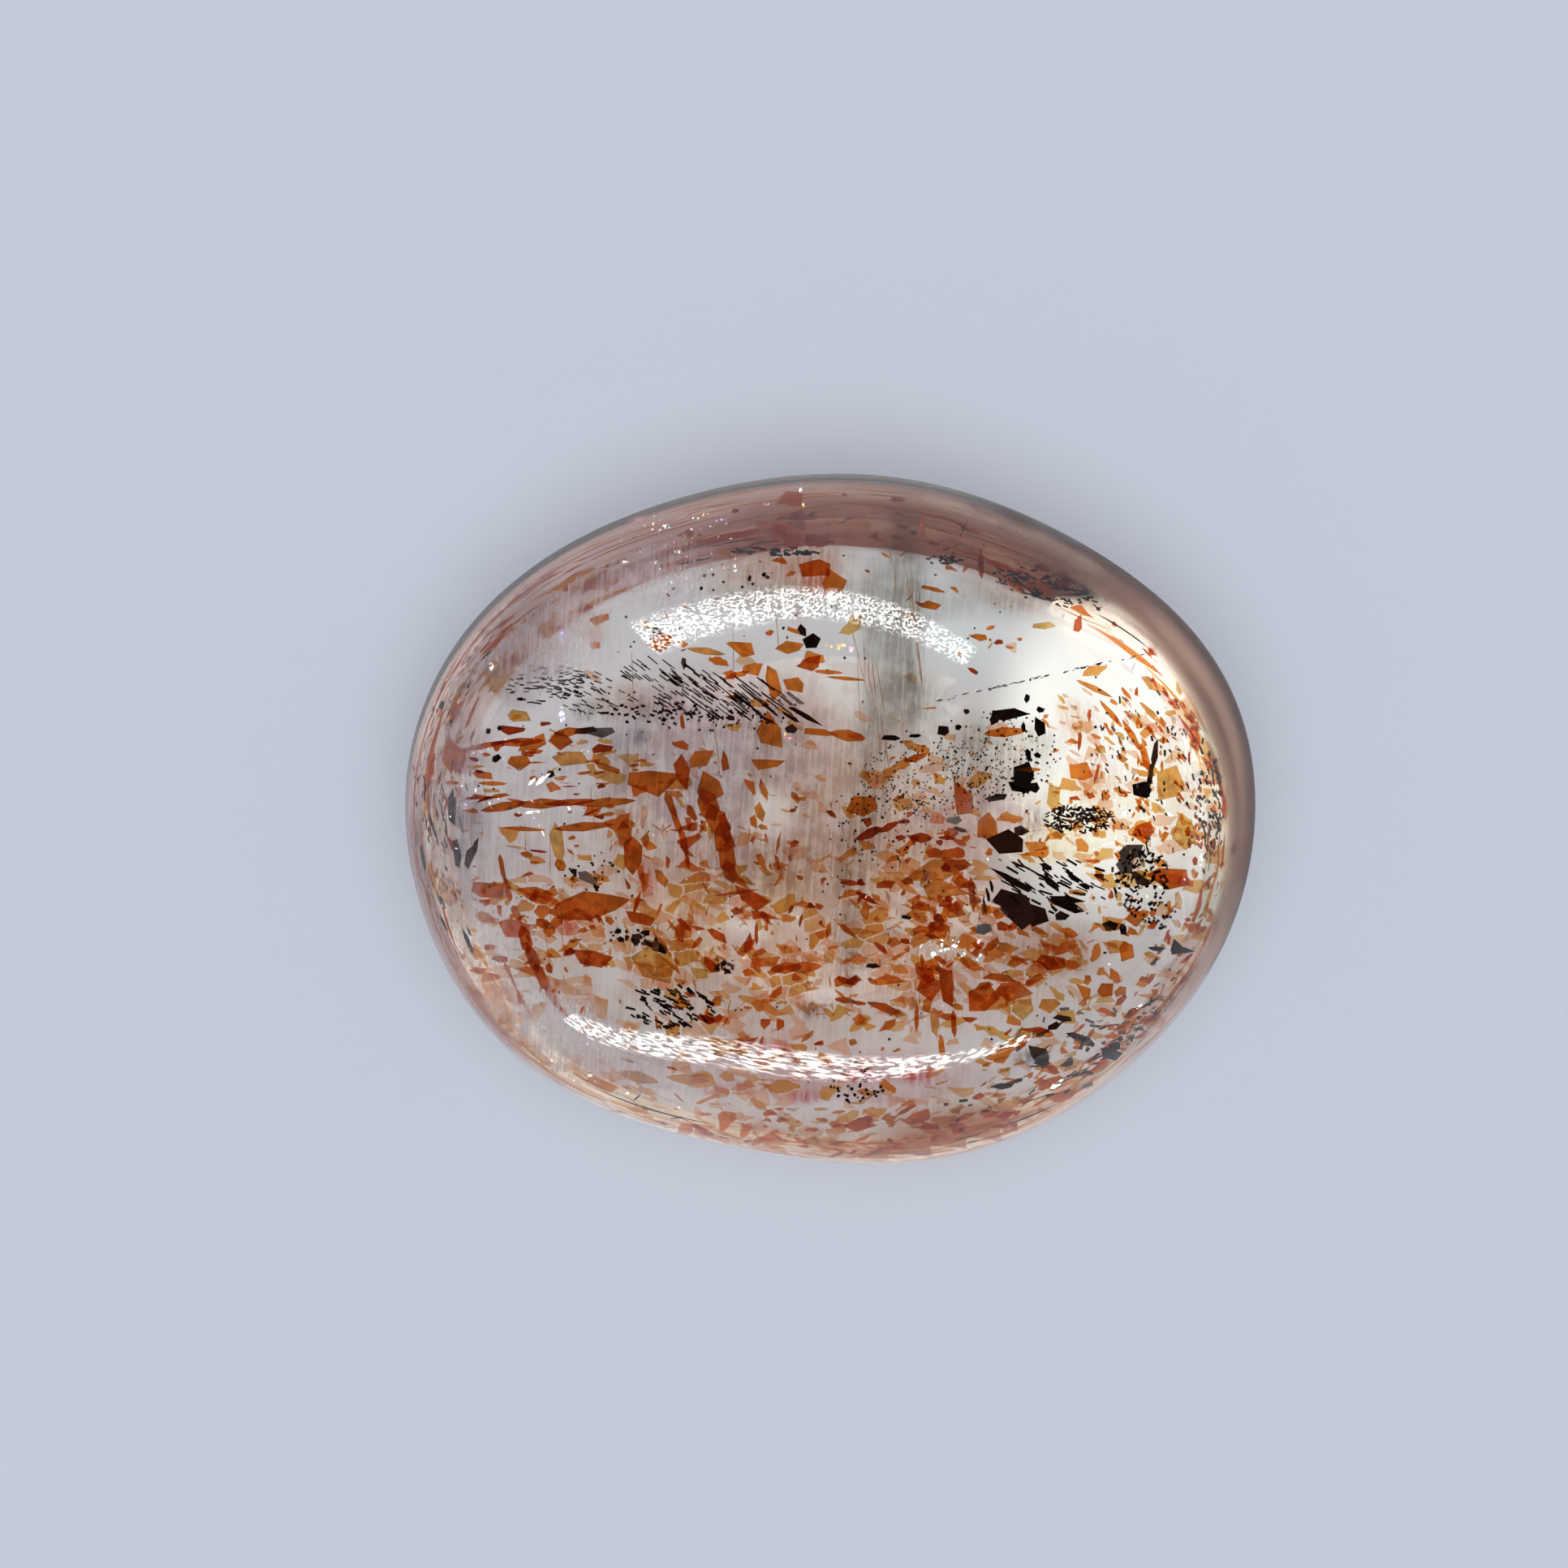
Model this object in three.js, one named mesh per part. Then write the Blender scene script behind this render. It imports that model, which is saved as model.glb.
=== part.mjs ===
// A sunstone cut as an oval double cabochon: one solid piece of polished feldspar.
// Millimetres, +Z up. The stone lies on the small flat spot of its underside with the
// dome up, its length along X and its width along Y. The origin is under the middle
// of its bounding box, at the height of the flat.
import * as THREE from "three";
import { mergeVertices } from "three/addons/utils/BufferGeometryUtils.js";

// Driving dimensions
const STONE_LENGTH = 11.0;
const STONE_WIDTH = 9.0;
const GIRDLE_HEIGHT = 2.1;      // from the flat up to the widest line of the stone
const DOME_HEIGHT = 3.5;        // from the widest line up to the crown
const FLAT_SHARE = 0.42;        // the flat's length as a share of the stone's length
const UNDERSIDE_FULLNESS = 1.85; // 2 is a true ellipse, less is more pointed

// The outline was ground by hand, so it strays from a true oval in shallow waves.
// Each wave has a number of lobes round the stone, a depth in millimetres and the
// direction of one crest in degrees, counted from +X towards +Y.
const OUTLINE_WAVES = [
  { lobes: 2, depth: 0.022, crest: -31 },
  { lobes: 3, depth: 0.024, crest: 43 },
  { lobes: 4, depth: 0.033, crest: 31 },
  { lobes: 5, depth: 0.04, crest: 8 },
  { lobes: 6, depth: 0.015, crest: -23 },
  { lobes: 7, depth: 0.015, crest: -25 },
];

// Fineness of the faceted solid
const STEPS_ROUND = 80;
const STEPS_UNDERSIDE = 9;
const STEPS_DOME = 18;

// Height of the underside where the section is `share` of the full outline.
// The curve would run on below the flat, which grinds it off at height 0.
function undersideHeight(share) {
  const rise = 1 - share ** UNDERSIDE_FULLNESS;
  const riseAtFlat = 1 - FLAT_SHARE ** UNDERSIDE_FULLNESS;
  return GIRDLE_HEIGHT * (1 - Math.sqrt(rise / riseAtFlat));
}

// Height of the dome where the section is `share` of the full outline
function domeHeight(share) {
  return GIRDLE_HEIGHT + DOME_HEIGHT * Math.sqrt(1 - share * share);
}

// Half of the stone's section, from the middle of the flat out to the girdle and
// back in over the dome to the crown. Steps follow equal angles, so they are close
// together where the section turns fast.
function halfSection() {
  const points = [new THREE.Vector2(0, 0), new THREE.Vector2(FLAT_SHARE, 0)];
  const flatAngle = Math.acos(FLAT_SHARE);
  for (let step = 1; step <= STEPS_UNDERSIDE; step++) {
    const share = Math.cos(flatAngle * (1 - step / STEPS_UNDERSIDE));
    points.push(new THREE.Vector2(share, undersideHeight(share)));
  }
  for (let step = 1; step < STEPS_DOME; step++) {
    const share = Math.cos((Math.PI / 2) * (step / STEPS_DOME));
    points.push(new THREE.Vector2(share, domeHeight(share)));
  }
  points.push(new THREE.Vector2(0, GIRDLE_HEIGHT + DOME_HEIGHT));
  return points;
}

// How far the hand-ground outline stands out of the true oval in one direction
function outlineWave(angle) {
  let offset = 0;
  for (const wave of OUTLINE_WAVES) {
    const crest = THREE.MathUtils.degToRad(wave.crest);
    offset += wave.depth * Math.cos(wave.lobes * (angle - crest));
  }
  return offset;
}

// The turned unit section becomes the stone: stretched to the oval, pushed out or in
// by the outline's waves, which fade towards the axis, and centred on its box.
function stoneGeometry() {
  const turned = new THREE.LatheGeometry(halfSection(), STEPS_ROUND);
  turned.deleteAttribute("normal");
  turned.deleteAttribute("uv");
  turned.rotateX(Math.PI / 2);
  const geometry = mergeVertices(turned, 1e-5);
  const position = geometry.attributes.position;
  for (let i = 0; i < position.count; i++) {
    const share = Math.hypot(position.getX(i), position.getY(i));
    const angle = Math.atan2(position.getY(i), position.getX(i));
    const wave = outlineWave(angle) * share * share;
    const x = position.getX(i) * STONE_LENGTH / 2 + wave * Math.cos(angle);
    const y = position.getY(i) * STONE_WIDTH / 2 + wave * Math.sin(angle);
    position.setXY(i, x, y);
  }
  geometry.computeBoundingBox();
  const middle = geometry.boundingBox.getCenter(new THREE.Vector3());
  const size = geometry.boundingBox.getSize(new THREE.Vector3());
  geometry.translate(-middle.x, -middle.y, 0);
  geometry.scale(STONE_LENGTH / size.x, STONE_WIDTH / size.y, 1);
  geometry.computeVertexNormals();
  return geometry;
}

// Clear feldspar, faintly peach from the hematite flakes inside it, with a glassy polish
const polishedFeldspar = new THREE.MeshStandardMaterial({
  color: 0xe6cfc0,
  roughness: 0.05,
  metalness: 0,
});

const sunstone = new THREE.Mesh(stoneGeometry(), polishedFeldspar);
sunstone.name = "sunstone";

const part = new THREE.Group();
part.add(sunstone);

export default part;
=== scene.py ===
# %% [markdown]
# # A confetti sunstone cabochon
# A sunstone is clear feldspar that grew with thin plates of hematite in it. This one is
# ground and polished as an oval, domed on both sides, 11 mm long. It is one piece of
# stone, so the solid model has one part. All the colour is inside it: orange, ochre and
# near-black flakes, dashes and specks, seen through the polish and bent by the dome.
# The lesson goes from the outside in: the camera, the clear body, the studio, and then
# the flakes, which are placed where the sight lines of a photo meet them in the stone.

# %% Load the frame
import math
import random
import bpy
from mathutils import Matrix, Vector, noise


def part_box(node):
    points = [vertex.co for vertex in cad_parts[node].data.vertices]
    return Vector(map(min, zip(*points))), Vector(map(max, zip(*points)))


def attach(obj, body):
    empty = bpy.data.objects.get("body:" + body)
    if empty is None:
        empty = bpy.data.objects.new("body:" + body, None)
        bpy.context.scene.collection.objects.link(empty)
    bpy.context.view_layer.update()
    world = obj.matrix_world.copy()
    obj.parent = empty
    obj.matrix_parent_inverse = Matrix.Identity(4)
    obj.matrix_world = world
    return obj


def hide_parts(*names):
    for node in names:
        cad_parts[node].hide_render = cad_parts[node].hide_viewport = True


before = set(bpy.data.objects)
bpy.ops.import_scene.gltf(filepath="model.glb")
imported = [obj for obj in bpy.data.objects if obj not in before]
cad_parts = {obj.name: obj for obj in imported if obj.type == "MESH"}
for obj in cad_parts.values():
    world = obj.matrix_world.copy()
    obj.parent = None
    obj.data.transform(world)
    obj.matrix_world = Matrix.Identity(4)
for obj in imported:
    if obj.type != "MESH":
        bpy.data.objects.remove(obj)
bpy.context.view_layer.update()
stone_low, stone_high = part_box("sunstone")
stone_size = stone_high - stone_low
MM = 0.001
print("stone, mm:", [round(side / MM, 2) for side in stone_size])

# %% [markdown]
# ## Two small helpers
# Colours are written as sRGB hex values, as a colour picker gives them, and Blender's
# shaders want linear light, so one function turns the one into the other. Another adds
# a node to a tree with its settings and its links, because every material needs that.

# %% Colour and node helpers
def linear(hex_colour):
    """The linear RGBA of an sRGB hex colour such as "d9772b"."""
    channels = [int(hex_colour[i:i + 2], 16) / 255 for i in (0, 2, 4)]
    curve = [c / 12.92 if c <= 0.04045 else ((c + 0.055) / 1.055) ** 2.4 for c in channels]
    return (*curve, 1.0)


def add_node(tree, kind, settings=None, inputs=None):
    """Adds a node. An input is a value, or an output socket that is linked to it."""
    node = tree.nodes.new(kind)
    for name, value in (settings or {}).items():
        setattr(node, name, value)
    for name, value in (inputs or {}).items():
        socket = node.inputs[name]
        if isinstance(value, bpy.types.NodeSocket):
            tree.links.new(value, socket)
        else:
            socket.default_value = value
    return node


def new_material(name):
    """An empty node material and its output node."""
    material = bpy.data.materials.new(name)
    material.use_nodes = True
    material.node_tree.nodes.clear()
    output = add_node(material.node_tree, "ShaderNodeOutputMaterial")
    return material, material.node_tree, output


def add_object(name, mesh):
    """Puts a mesh in the scene, at the origin."""
    made = bpy.data.objects.new(name, mesh)
    bpy.context.scene.collection.objects.link(made)
    return made


def fill_ramp(ramp_node, stops):
    """Gives a Color Ramp its stops, as (place, hex colour) pairs in order."""
    elements = ramp_node.color_ramp.elements
    while len(elements) > 1:
        elements.remove(elements[-1])
    elements[0].position = stops[0][0]
    elements[0].color = linear(stops[0][1])
    for place, colour in stops[1:]:
        elements.new(place).color = linear(colour)


print("middle grey in linear light:", round(linear("808080")[0], 3))

# %% [markdown]
# ## The camera
# The stone lies dome up and the camera looks down on it, a little aslant, as the photo
# looks at its dome. The photo is square, 1932 pixels a side, and shows 95.2 pixels to
# each millimetre of the stone. A long lens far away keeps the oval undistorted.

# %% Camera
PHOTO_SIDE = 1932
PIXELS_PER_MM = 95.2
STONE_MIDDLE = (1023, 1009)     # photo pixel at the middle of the outline
GIRDLE_HEIGHT = 2.1             # mm, from the flat up to the widest line
CAMERA_LEAN = math.radians(9)   # off the dome's axis
CAMERA_DISTANCE = 200.0         # mm
SENSOR_WIDTH = 36.0             # mm
NEAREST_SEEN = 10               # mm
FARTHEST_SEEN = 10_000          # mm

sight_back = Vector((0, math.sin(CAMERA_LEAN), math.cos(CAMERA_LEAN)))
sight_up = Vector((0, math.cos(CAMERA_LEAN), -math.sin(CAMERA_LEAN)))
sight_right = Vector((1, 0, 0))
view_middle = (Vector((0, 0, GIRDLE_HEIGHT))
               + sight_right * (PHOTO_SIDE / 2 - STONE_MIDDLE[0]) / PIXELS_PER_MM
               + sight_up * (STONE_MIDDLE[1] - PHOTO_SIDE / 2) / PIXELS_PER_MM)
eye = view_middle + sight_back * CAMERA_DISTANCE

camera_data = bpy.data.cameras.new("camera")
camera_data.sensor_width = SENSOR_WIDTH
camera_data.lens = SENSOR_WIDTH * CAMERA_DISTANCE / (PHOTO_SIDE / PIXELS_PER_MM)
camera_data.clip_start = NEAREST_SEEN * MM
camera_data.clip_end = FARTHEST_SEEN * MM
camera = add_object("camera", camera_data)
turn = Matrix((sight_right, sight_up, sight_back)).transposed().to_4x4()
camera.matrix_world = Matrix.Translation(eye * MM) @ turn
bpy.context.scene.camera = camera
print("lens, mm:", round(camera_data.lens, 1))

# %% [markdown]
# ## The shape of the stone
# A lapidary grinds the rough on a wheel by eye, so the outline strays from a true oval
# in shallow waves. The section is a high dome over a lower underside that ends in a
# small flat. It could be sculpted, but a formula is exact: the dome and the underside
# give the height for each share of the full outline, and the mesh is rings of points.
# Steps at equal angles put the rings close together near the girdle, where it bends.

# %% Height of the stone and waves of its outline
STONE_LENGTH, STONE_WIDTH, STONE_HEIGHT = [side / MM for side in stone_size]
DOME_HEIGHT = STONE_HEIGHT - GIRDLE_HEIGHT
FLAT_SHARE = 0.42               # size of the flat, as a share of the outline
UNDERSIDE_FULLNESS = 1.85       # 2 is an ellipse, and less is more like a cone
OUTLINE_WAVES = (               # lobes, depth in mm, direction of one crest in degrees
    (2, 0.022, -31),
    (3, 0.024, 43),
    (4, 0.033, 31),
    (5, 0.040, 8),
    (6, 0.015, -23),
    (7, 0.015, -25),
)


def underside_height(share):
    """Height where the section is this share of the full outline, on the underside."""
    rise = max(0.0, 1 - share ** UNDERSIDE_FULLNESS)
    rise_at_flat = 1 - FLAT_SHARE ** UNDERSIDE_FULLNESS
    return max(0.0, GIRDLE_HEIGHT * (1 - math.sqrt(rise / rise_at_flat)))


def dome_height(share):
    """Height where the section is this share of the full outline, on the dome."""
    return GIRDLE_HEIGHT + DOME_HEIGHT * math.sqrt(max(0.0, 1 - share * share))


def outline_wave(angle):
    """How far the outline stands out of the true oval in this direction, in mm."""
    offset = 0.0
    for lobes, depth, crest in OUTLINE_WAVES:
        offset += depth * math.cos(lobes * (angle - math.radians(crest)))
    return offset


print("dome and underside, mm:", round(DOME_HEIGHT, 2), GIRDLE_HEIGHT)

# %% Mesh of the clear body
STEPS_ROUND = 256
STEPS_DOME = 96
STEPS_UNDERSIDE = 40
FLAT_RINGS = (1.0, 0.8, 0.55, 0.3, 0.1)     # shares of the flat


def body_rings():
    """Share of the outline and height of each ring, from the crown down to the flat."""
    rings = []
    for step in range(1, STEPS_DOME + 1):
        share = math.sin(math.pi / 2 * step / STEPS_DOME)
        rings.append((share, dome_height(share)))
    flat_angle = math.acos(FLAT_SHARE)
    for step in range(1, STEPS_UNDERSIDE):
        share = math.cos(flat_angle * step / STEPS_UNDERSIDE)
        rings.append((share, underside_height(share)))
    rings.extend((FLAT_SHARE * part, 0.0) for part in FLAT_RINGS)
    return rings


def body_mesh(name):
    """The closed skin of the stone, fitted exactly to the solid model's box."""
    points = [Vector((0, 0, STONE_HEIGHT))]
    rings = body_rings()
    for share, height in rings:
        for step in range(STEPS_ROUND):
            angle = 2 * math.pi * step / STEPS_ROUND
            wave = outline_wave(angle) * share * share
            across = (share * STONE_LENGTH / 2 + wave) * math.cos(angle)
            along = (share * STONE_WIDTH / 2 + wave) * math.sin(angle)
            points.append(Vector((across, along, height)))
    points.append(Vector((0, 0, 0)))
    faces = []
    for step in range(STEPS_ROUND):
        after = (step + 1) % STEPS_ROUND
        faces.append((0, 1 + step, 1 + after))
        for ring in range(len(rings) - 1):
            here = 1 + ring * STEPS_ROUND
            below = here + STEPS_ROUND
            faces.append((here + step, below + step, below + after, here + after))
        lowest = 1 + (len(rings) - 1) * STEPS_ROUND
        faces.append((lowest + after, lowest + step, len(points) - 1))
    low = [min(p[axis] for p in points) for axis in (0, 1)]
    high = [max(p[axis] for p in points) for axis in (0, 1)]
    fitted = []
    for p in points:
        x = stone_low.x + stone_size.x * (p.x - low[0]) / (high[0] - low[0])
        y = stone_low.y + stone_size.y * (p.y - low[1]) / (high[1] - low[1])
        fitted.append((x, y, stone_low.z + p.z * MM))
    mesh = bpy.data.meshes.new(name)
    mesh.from_pydata(fitted, [], faces)
    mesh.shade_smooth()
    return mesh


clear_body = add_object("clear_body", body_mesh("clear_body"))
print("clear body faces:", len(clear_body.data.polygons))

# %% [markdown]
# ## Polished feldspar
# Feldspar bends light less than most gems, with an index near 1.54. A glass shader with that index gives the
# bright window in the middle and the dark band of total reflection round the rim. A weak absorption warms the
# long paths. The girdle, the widest line, is where a cut stone is handled and rubbed, so the polish there is
# worn dull. The right flank is duller still, and its glass is tinted brown there as painted shade, so the rim
# there looks soft and brown, not silvery. That worn and shaded area is worked out from a point's own place:
# how far out it lies, as a share of the outline, and how far to the right and to the back.

# %% Polished feldspar material
FELDSPAR_IOR = 1.54
FELDSPAR_TINT = "dddab8"
FELDSPAR_DENSITY = 60.0         # per metre, how strongly the tint absorbs
GIRDLE_WEAR = 0.8               # mm above and below the widest line, where the polish is worn dull
GIRDLE_ROUGHNESS = 0.45
FLANK_OUT = (0.91, 0.96)        # where the dull flank starts and is full, as a share of the outline
FLANK_RIGHT = (1.6, 3.2)        # mm to the right of the middle, the same two places
FLANK_BACK = (-3.0, -0.4)       # mm behind the middle, the same two places
FLANK_BAYS = 1.3                # mm from one bay to the next, where the dull flank ends
FLANK_WANDER = 0.6              # mm by which those ends wander
FLANK_ROUGHNESS = 0.6
# painted shade: the brown that tints the glass on the right flank and darkens the rim band there
FLANK_SHADE = "987472"


def dull_and_shaded_flank(tree, place, parts):
    """1 on the outer part of the right flank, 0 elsewhere. Its two ends are uneven."""
    bays = add_node(tree, "ShaderNodeTexNoise", {}, {
        "Vector": place.outputs["Object"],
        "Scale": 1 / (FLANK_BAYS * MM),
        "Detail": 3.0,
    })
    wander = add_node(tree, "ShaderNodeMapRange", {}, {
        "Value": bays.outputs["Fac"],
        "From Min": 0.3,
        "From Max": 0.7,
        "To Min": -FLANK_WANDER * MM,
        "To Max": FLANK_WANDER * MM,
    })
    squeezed = add_node(tree, "ShaderNodeMapping", {}, {
        "Vector": place.outputs["Object"],
        "Scale": (2 / (STONE_LENGTH * MM), 2 / (STONE_WIDTH * MM), 0.0),
    })
    radius = add_node(tree, "ShaderNodeVectorMath", {"operation": "LENGTH"}, {0: squeezed.outputs[0]})
    limits = [(radius.outputs["Value"], FLANK_OUT)]
    for axis, ends in (("X", FLANK_RIGHT), ("Y", FLANK_BACK)):
        moved = add_node(tree, "ShaderNodeMath", {"operation": "ADD"}, {
            0: parts.outputs[axis],
            1: wander.outputs["Result"],
        })
        limits.append((moved.outputs[0], [end * MM for end in ends]))
    zone = 1.0
    for value, ends in limits:
        inside = add_node(tree, "ShaderNodeMapRange", {"interpolation_type": "SMOOTHSTEP"}, {
            "Value": value,
            "From Min": ends[0],
            "From Max": ends[1],
        })
        both = add_node(tree, "ShaderNodeMath", {"operation": "MULTIPLY"}, {
            0: zone,
            1: inside.outputs["Result"],
        })
        zone = both.outputs[0]
    return zone


def polished_feldspar():
    """Clear feldspar, worn dull along the girdle and on the right flank, where its glass is also tinted brown
    as painted shade.
    """
    material, tree, output = new_material("polished_feldspar")
    place = add_node(tree, "ShaderNodeTexCoord")
    height = add_node(tree, "ShaderNodeSeparateXYZ", {}, {"Vector": place.outputs["Object"]})
    off_girdle = add_node(tree, "ShaderNodeMath", {"operation": "SUBTRACT"}, {
        0: height.outputs["Z"],
        1: GIRDLE_HEIGHT * MM,
    })
    distance = add_node(tree, "ShaderNodeMath", {"operation": "ABSOLUTE"}, {0: off_girdle.outputs[0]})
    edge_wear = add_node(tree, "ShaderNodeMapRange", {"interpolation_type": "SMOOTHSTEP"}, {
        "Value": distance.outputs[0],
        "From Max": GIRDLE_WEAR * MM,
        "To Min": GIRDLE_ROUGHNESS,
        "To Max": 0.0,
    })
    flank = dull_and_shaded_flank(tree, place, height)
    flank_wear = add_node(tree, "ShaderNodeMath", {"operation": "MULTIPLY"}, {0: flank, 1: FLANK_ROUGHNESS})
    wear = add_node(tree, "ShaderNodeMath", {"operation": "MAXIMUM"}, {
        0: edge_wear.outputs["Result"],
        1: flank_wear.outputs[0],
    })
    # Painted shade: on the flank the glass is tinted brown, which darkens the rim band there.
    tint = add_node(tree, "ShaderNodeMix", {"data_type": "RGBA"}, {
        0: flank,
        6: linear("ffffff"),
        7: linear(FLANK_SHADE),
    })
    glass = add_node(tree, "ShaderNodeBsdfPrincipled", {}, {
        "Base Color": tint.outputs[2],
        "Roughness": wear.outputs[0],
        "IOR": FELDSPAR_IOR,
        "Transmission Weight": 1.0,
    })
    absorb = add_node(tree, "ShaderNodeVolumeAbsorption", {}, {
        "Color": linear(FELDSPAR_TINT),
        "Density": FELDSPAR_DENSITY,
    })
    tree.links.new(glass.outputs["BSDF"], output.inputs["Surface"])
    tree.links.new(absorb.outputs["Volume"], output.inputs["Volume"])
    return material


clear_body.data.materials.append(polished_feldspar())
print("clear body material:", clear_body.data.materials[0].name)

# %% [markdown]
# ## The studio
# A pale, plain floor, a pale sky and an overhead softbox light the stone evenly, and the
# dome gathers some of that light below itself, so its window is brighter than the floor.
# Glass shows what stands round it, so tinted cards stand in a ring, out of the camera's
# sight, as a photographer sets them: the rim's total reflection looks at them. A panel
# at the left is seen by the same reflection, as the bright crescent on the right. Two
# curved tubes give the bright arcs, in front and behind.

# %% Floor and sky
FLOOR_GAP = 0.02                # mm, an air gap that keeps floor and flat apart
FLOOR_SIDE = 3.0                # metres, so that its edge is never seen
FLOOR_GLOW = 0.4                # share of the floor's light that comes from below
SKY_STRENGTH = 0.42

floor_mesh = bpy.data.meshes.new("floor")
half = FLOOR_SIDE / 2
floor_drop = -FLOOR_GAP * MM
floor_mesh.from_pydata([(-half, -half, floor_drop), (half, -half, floor_drop),
                        (half, half, floor_drop), (-half, half, floor_drop)], [], [(0, 1, 2, 3)])
floor = add_object("floor", floor_mesh)
floor_paint, floor_tree, floor_output = new_material("floor_paint")
# The floor is a milky sheet lit a little from below, which keeps the shadow light.
matte = add_node(floor_tree, "ShaderNodeBsdfDiffuse", {}, {"Color": linear("c9cfdb")})
backlight = add_node(floor_tree, "ShaderNodeEmission", {}, {"Color": linear("c4cbd8")})
lit_sheet = add_node(floor_tree, "ShaderNodeMixShader", {}, {
    "Fac": FLOOR_GLOW,
    1: matte.outputs["BSDF"],
    2: backlight.outputs["Emission"],
})
floor_tree.links.new(lit_sheet.outputs[0], floor_output.inputs["Surface"])
floor_mesh.materials.append(floor_paint)

sky = bpy.data.worlds.new("sky")
sky.use_nodes = True
sky_light = sky.node_tree.nodes["Background"]
sky_light.inputs["Color"].default_value = linear("f6f9ff")
sky_light.inputs["Strength"].default_value = SKY_STRENGTH
sky.cycles_visibility.glossy = False   # nothing bright stands above the dome
bpy.context.scene.world = sky
print("floor, metres:", FLOOR_SIDE)

# %% Overhead softbox
SOFTBOX_HEIGHT = 300            # mm
SOFTBOX_SIZE = 240              # mm across
SOFTBOX_RADIANCE = 4.1


def direction(azimuth, elevation):
    """Unit vector towards a compass direction, counted from +Y towards +X, and a height."""
    turn_angle = math.radians(azimuth)
    lift = math.radians(elevation)
    return Vector((math.cos(lift) * math.sin(turn_angle),
                   math.cos(lift) * math.cos(turn_angle), math.sin(lift)))


def round_softbox(name):
    """A round area lamp straight above the stone. Its power follows from its brightness."""
    lamp = bpy.data.lights.new(name, "AREA")
    lamp.shape = "ELLIPSE"
    lamp.size = SOFTBOX_SIZE * MM
    lamp.size_y = SOFTBOX_SIZE * MM
    area = lamp.size * lamp.size_y * (math.pi / 4)
    lamp.energy = SOFTBOX_RADIANCE * math.pi * area
    softbox = add_object(name, lamp)
    softbox.location = direction(0, 90) * SOFTBOX_HEIGHT * MM
    softbox.rotation_mode = "QUATERNION"
    softbox.rotation_quaternion = softbox.location.to_track_quat("Z", "Y")
    softbox.visible_camera = False
    softbox.visible_glossy = False
    print("softbox, watts:", round(lamp.energy, 2))


round_softbox("overhead_softbox")

# %% Ring of tinted cards
CARD_RADIUS = 200               # mm
CARD_HEIGHTS = (2, 46)          # degrees above the floor
CARD_RADIANCE = 1.12
CARD_STEPS = 96                 # faces round the ring
CARD_COLOURS = (                # share of the way round from -Y by way of -X, and colour
    (0.00, "84564b"),
    (0.12, "76564e"),
    (0.20, "745450"),
    (0.24, "967c7a"),
    (0.28, "c2acac"),
    (0.33, "c4b2b4"),
    (0.385, "e2ceca"),
    (0.42, "e2ccc4"),
    (0.55, "f0e0d6"),
    (0.64, "fff8fc"),
    (0.70, "fbf2f8"),
    (0.76, "e6deea"),
    (0.90, "ac9098"),
    (1.00, "84564b"),
)


def ribbon(name, rows):
    """A strip of faces between two rows of points, given in mm, with a UV along it."""
    count = len(rows[0])
    mesh = bpy.data.meshes.new(name)
    faces = [(k, k + 1, count + k + 1, count + k) for k in range(count - 1)]
    mesh.from_pydata([p * MM for row in rows for p in row], [], faces)
    layer = mesh.uv_layers.new(name="along")
    for loop in mesh.loops:
        column = loop.vertex_index % count
        layer.data[loop.index].uv = (column / (count - 1), loop.vertex_index // count)
    return add_object(name, mesh)


def card_ring():
    """A closed ring of cards, whose colour changes along it."""
    rows = []
    for height in CARD_HEIGHTS:
        azimuths = [180 + 360 * k / CARD_STEPS for k in range(CARD_STEPS + 1)]
        rows.append([direction(azimuth, height) * CARD_RADIUS for azimuth in azimuths])
    ring = ribbon("tinted_cards", rows)
    material, tree, output = new_material("tinted_cards")
    place = add_node(tree, "ShaderNodeUVMap", {"uv_map": "along"})
    split = add_node(tree, "ShaderNodeSeparateXYZ", {}, {"Vector": place.outputs["UV"]})
    tint = add_node(tree, "ShaderNodeValToRGB", {}, {"Fac": split.outputs["X"]})
    fill_ramp(tint, CARD_COLOURS)
    glow = add_node(tree, "ShaderNodeEmission", {}, {
        "Color": tint.outputs["Color"],
        "Strength": CARD_RADIANCE,
    })
    tree.links.new(glow.outputs["Emission"], output.inputs["Surface"])
    ring.data.materials.append(material)
    ring.visible_camera = False
    ring.visible_glossy = False
    ring.visible_diffuse = False
    print("cards, mm from the stone:", CARD_RADIUS)


card_ring()

# %% Curved lamps
LAMP_DISTANCE = 120             # mm
LAMP_STEPS = 48                 # faces along a lamp
# Each lamp is a row of points: azimuth, elevation and half height, all in degrees.
TUBES = {
    "rear_tube": ((-34, 20.6, 10.0), (-21, 21.0, 9.6), (-7, 22.5, 8.0), (12, 27.5, 6.8), (31, 33, 4.6)),
    "front_tube": ((220, 3, 4.8), (212, 6, 7.2), (204, 12, 8.6), (195, 16.5, 8.6), (180, 18.0, 7.0),
                   (167, 18.8, 4.8), (158, 17, 3.4), (148, 13, 2.4)),
}
WINDOW = ((222, 29, 1.5), (230, 28, 6), (238, 25.5, 9), (246, 23.5, 11), (252, 22, 11.5),
          (257, 20, 10.5), (262, 17.5, 8.5), (267, 15, 6.5), (272, 13, 5), (278, 11.5, 3.5), (284, 11, 2))
TUBE_RADIANCE = 28.0
TUBE_JOINTS = 13
JOINT_LIGHT = 0.4               # share of the light that is left at a joint
WINDOW_RADIANCE = 1.9
WINDOW_FADES_FROM = 0.5         # share of its length
WINDOW_END_LIGHT = 0.3          # share of the light that is left at its end
SOFT_EDGE = 0.3                 # share of a lamp's height over which each long edge fades in
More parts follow.
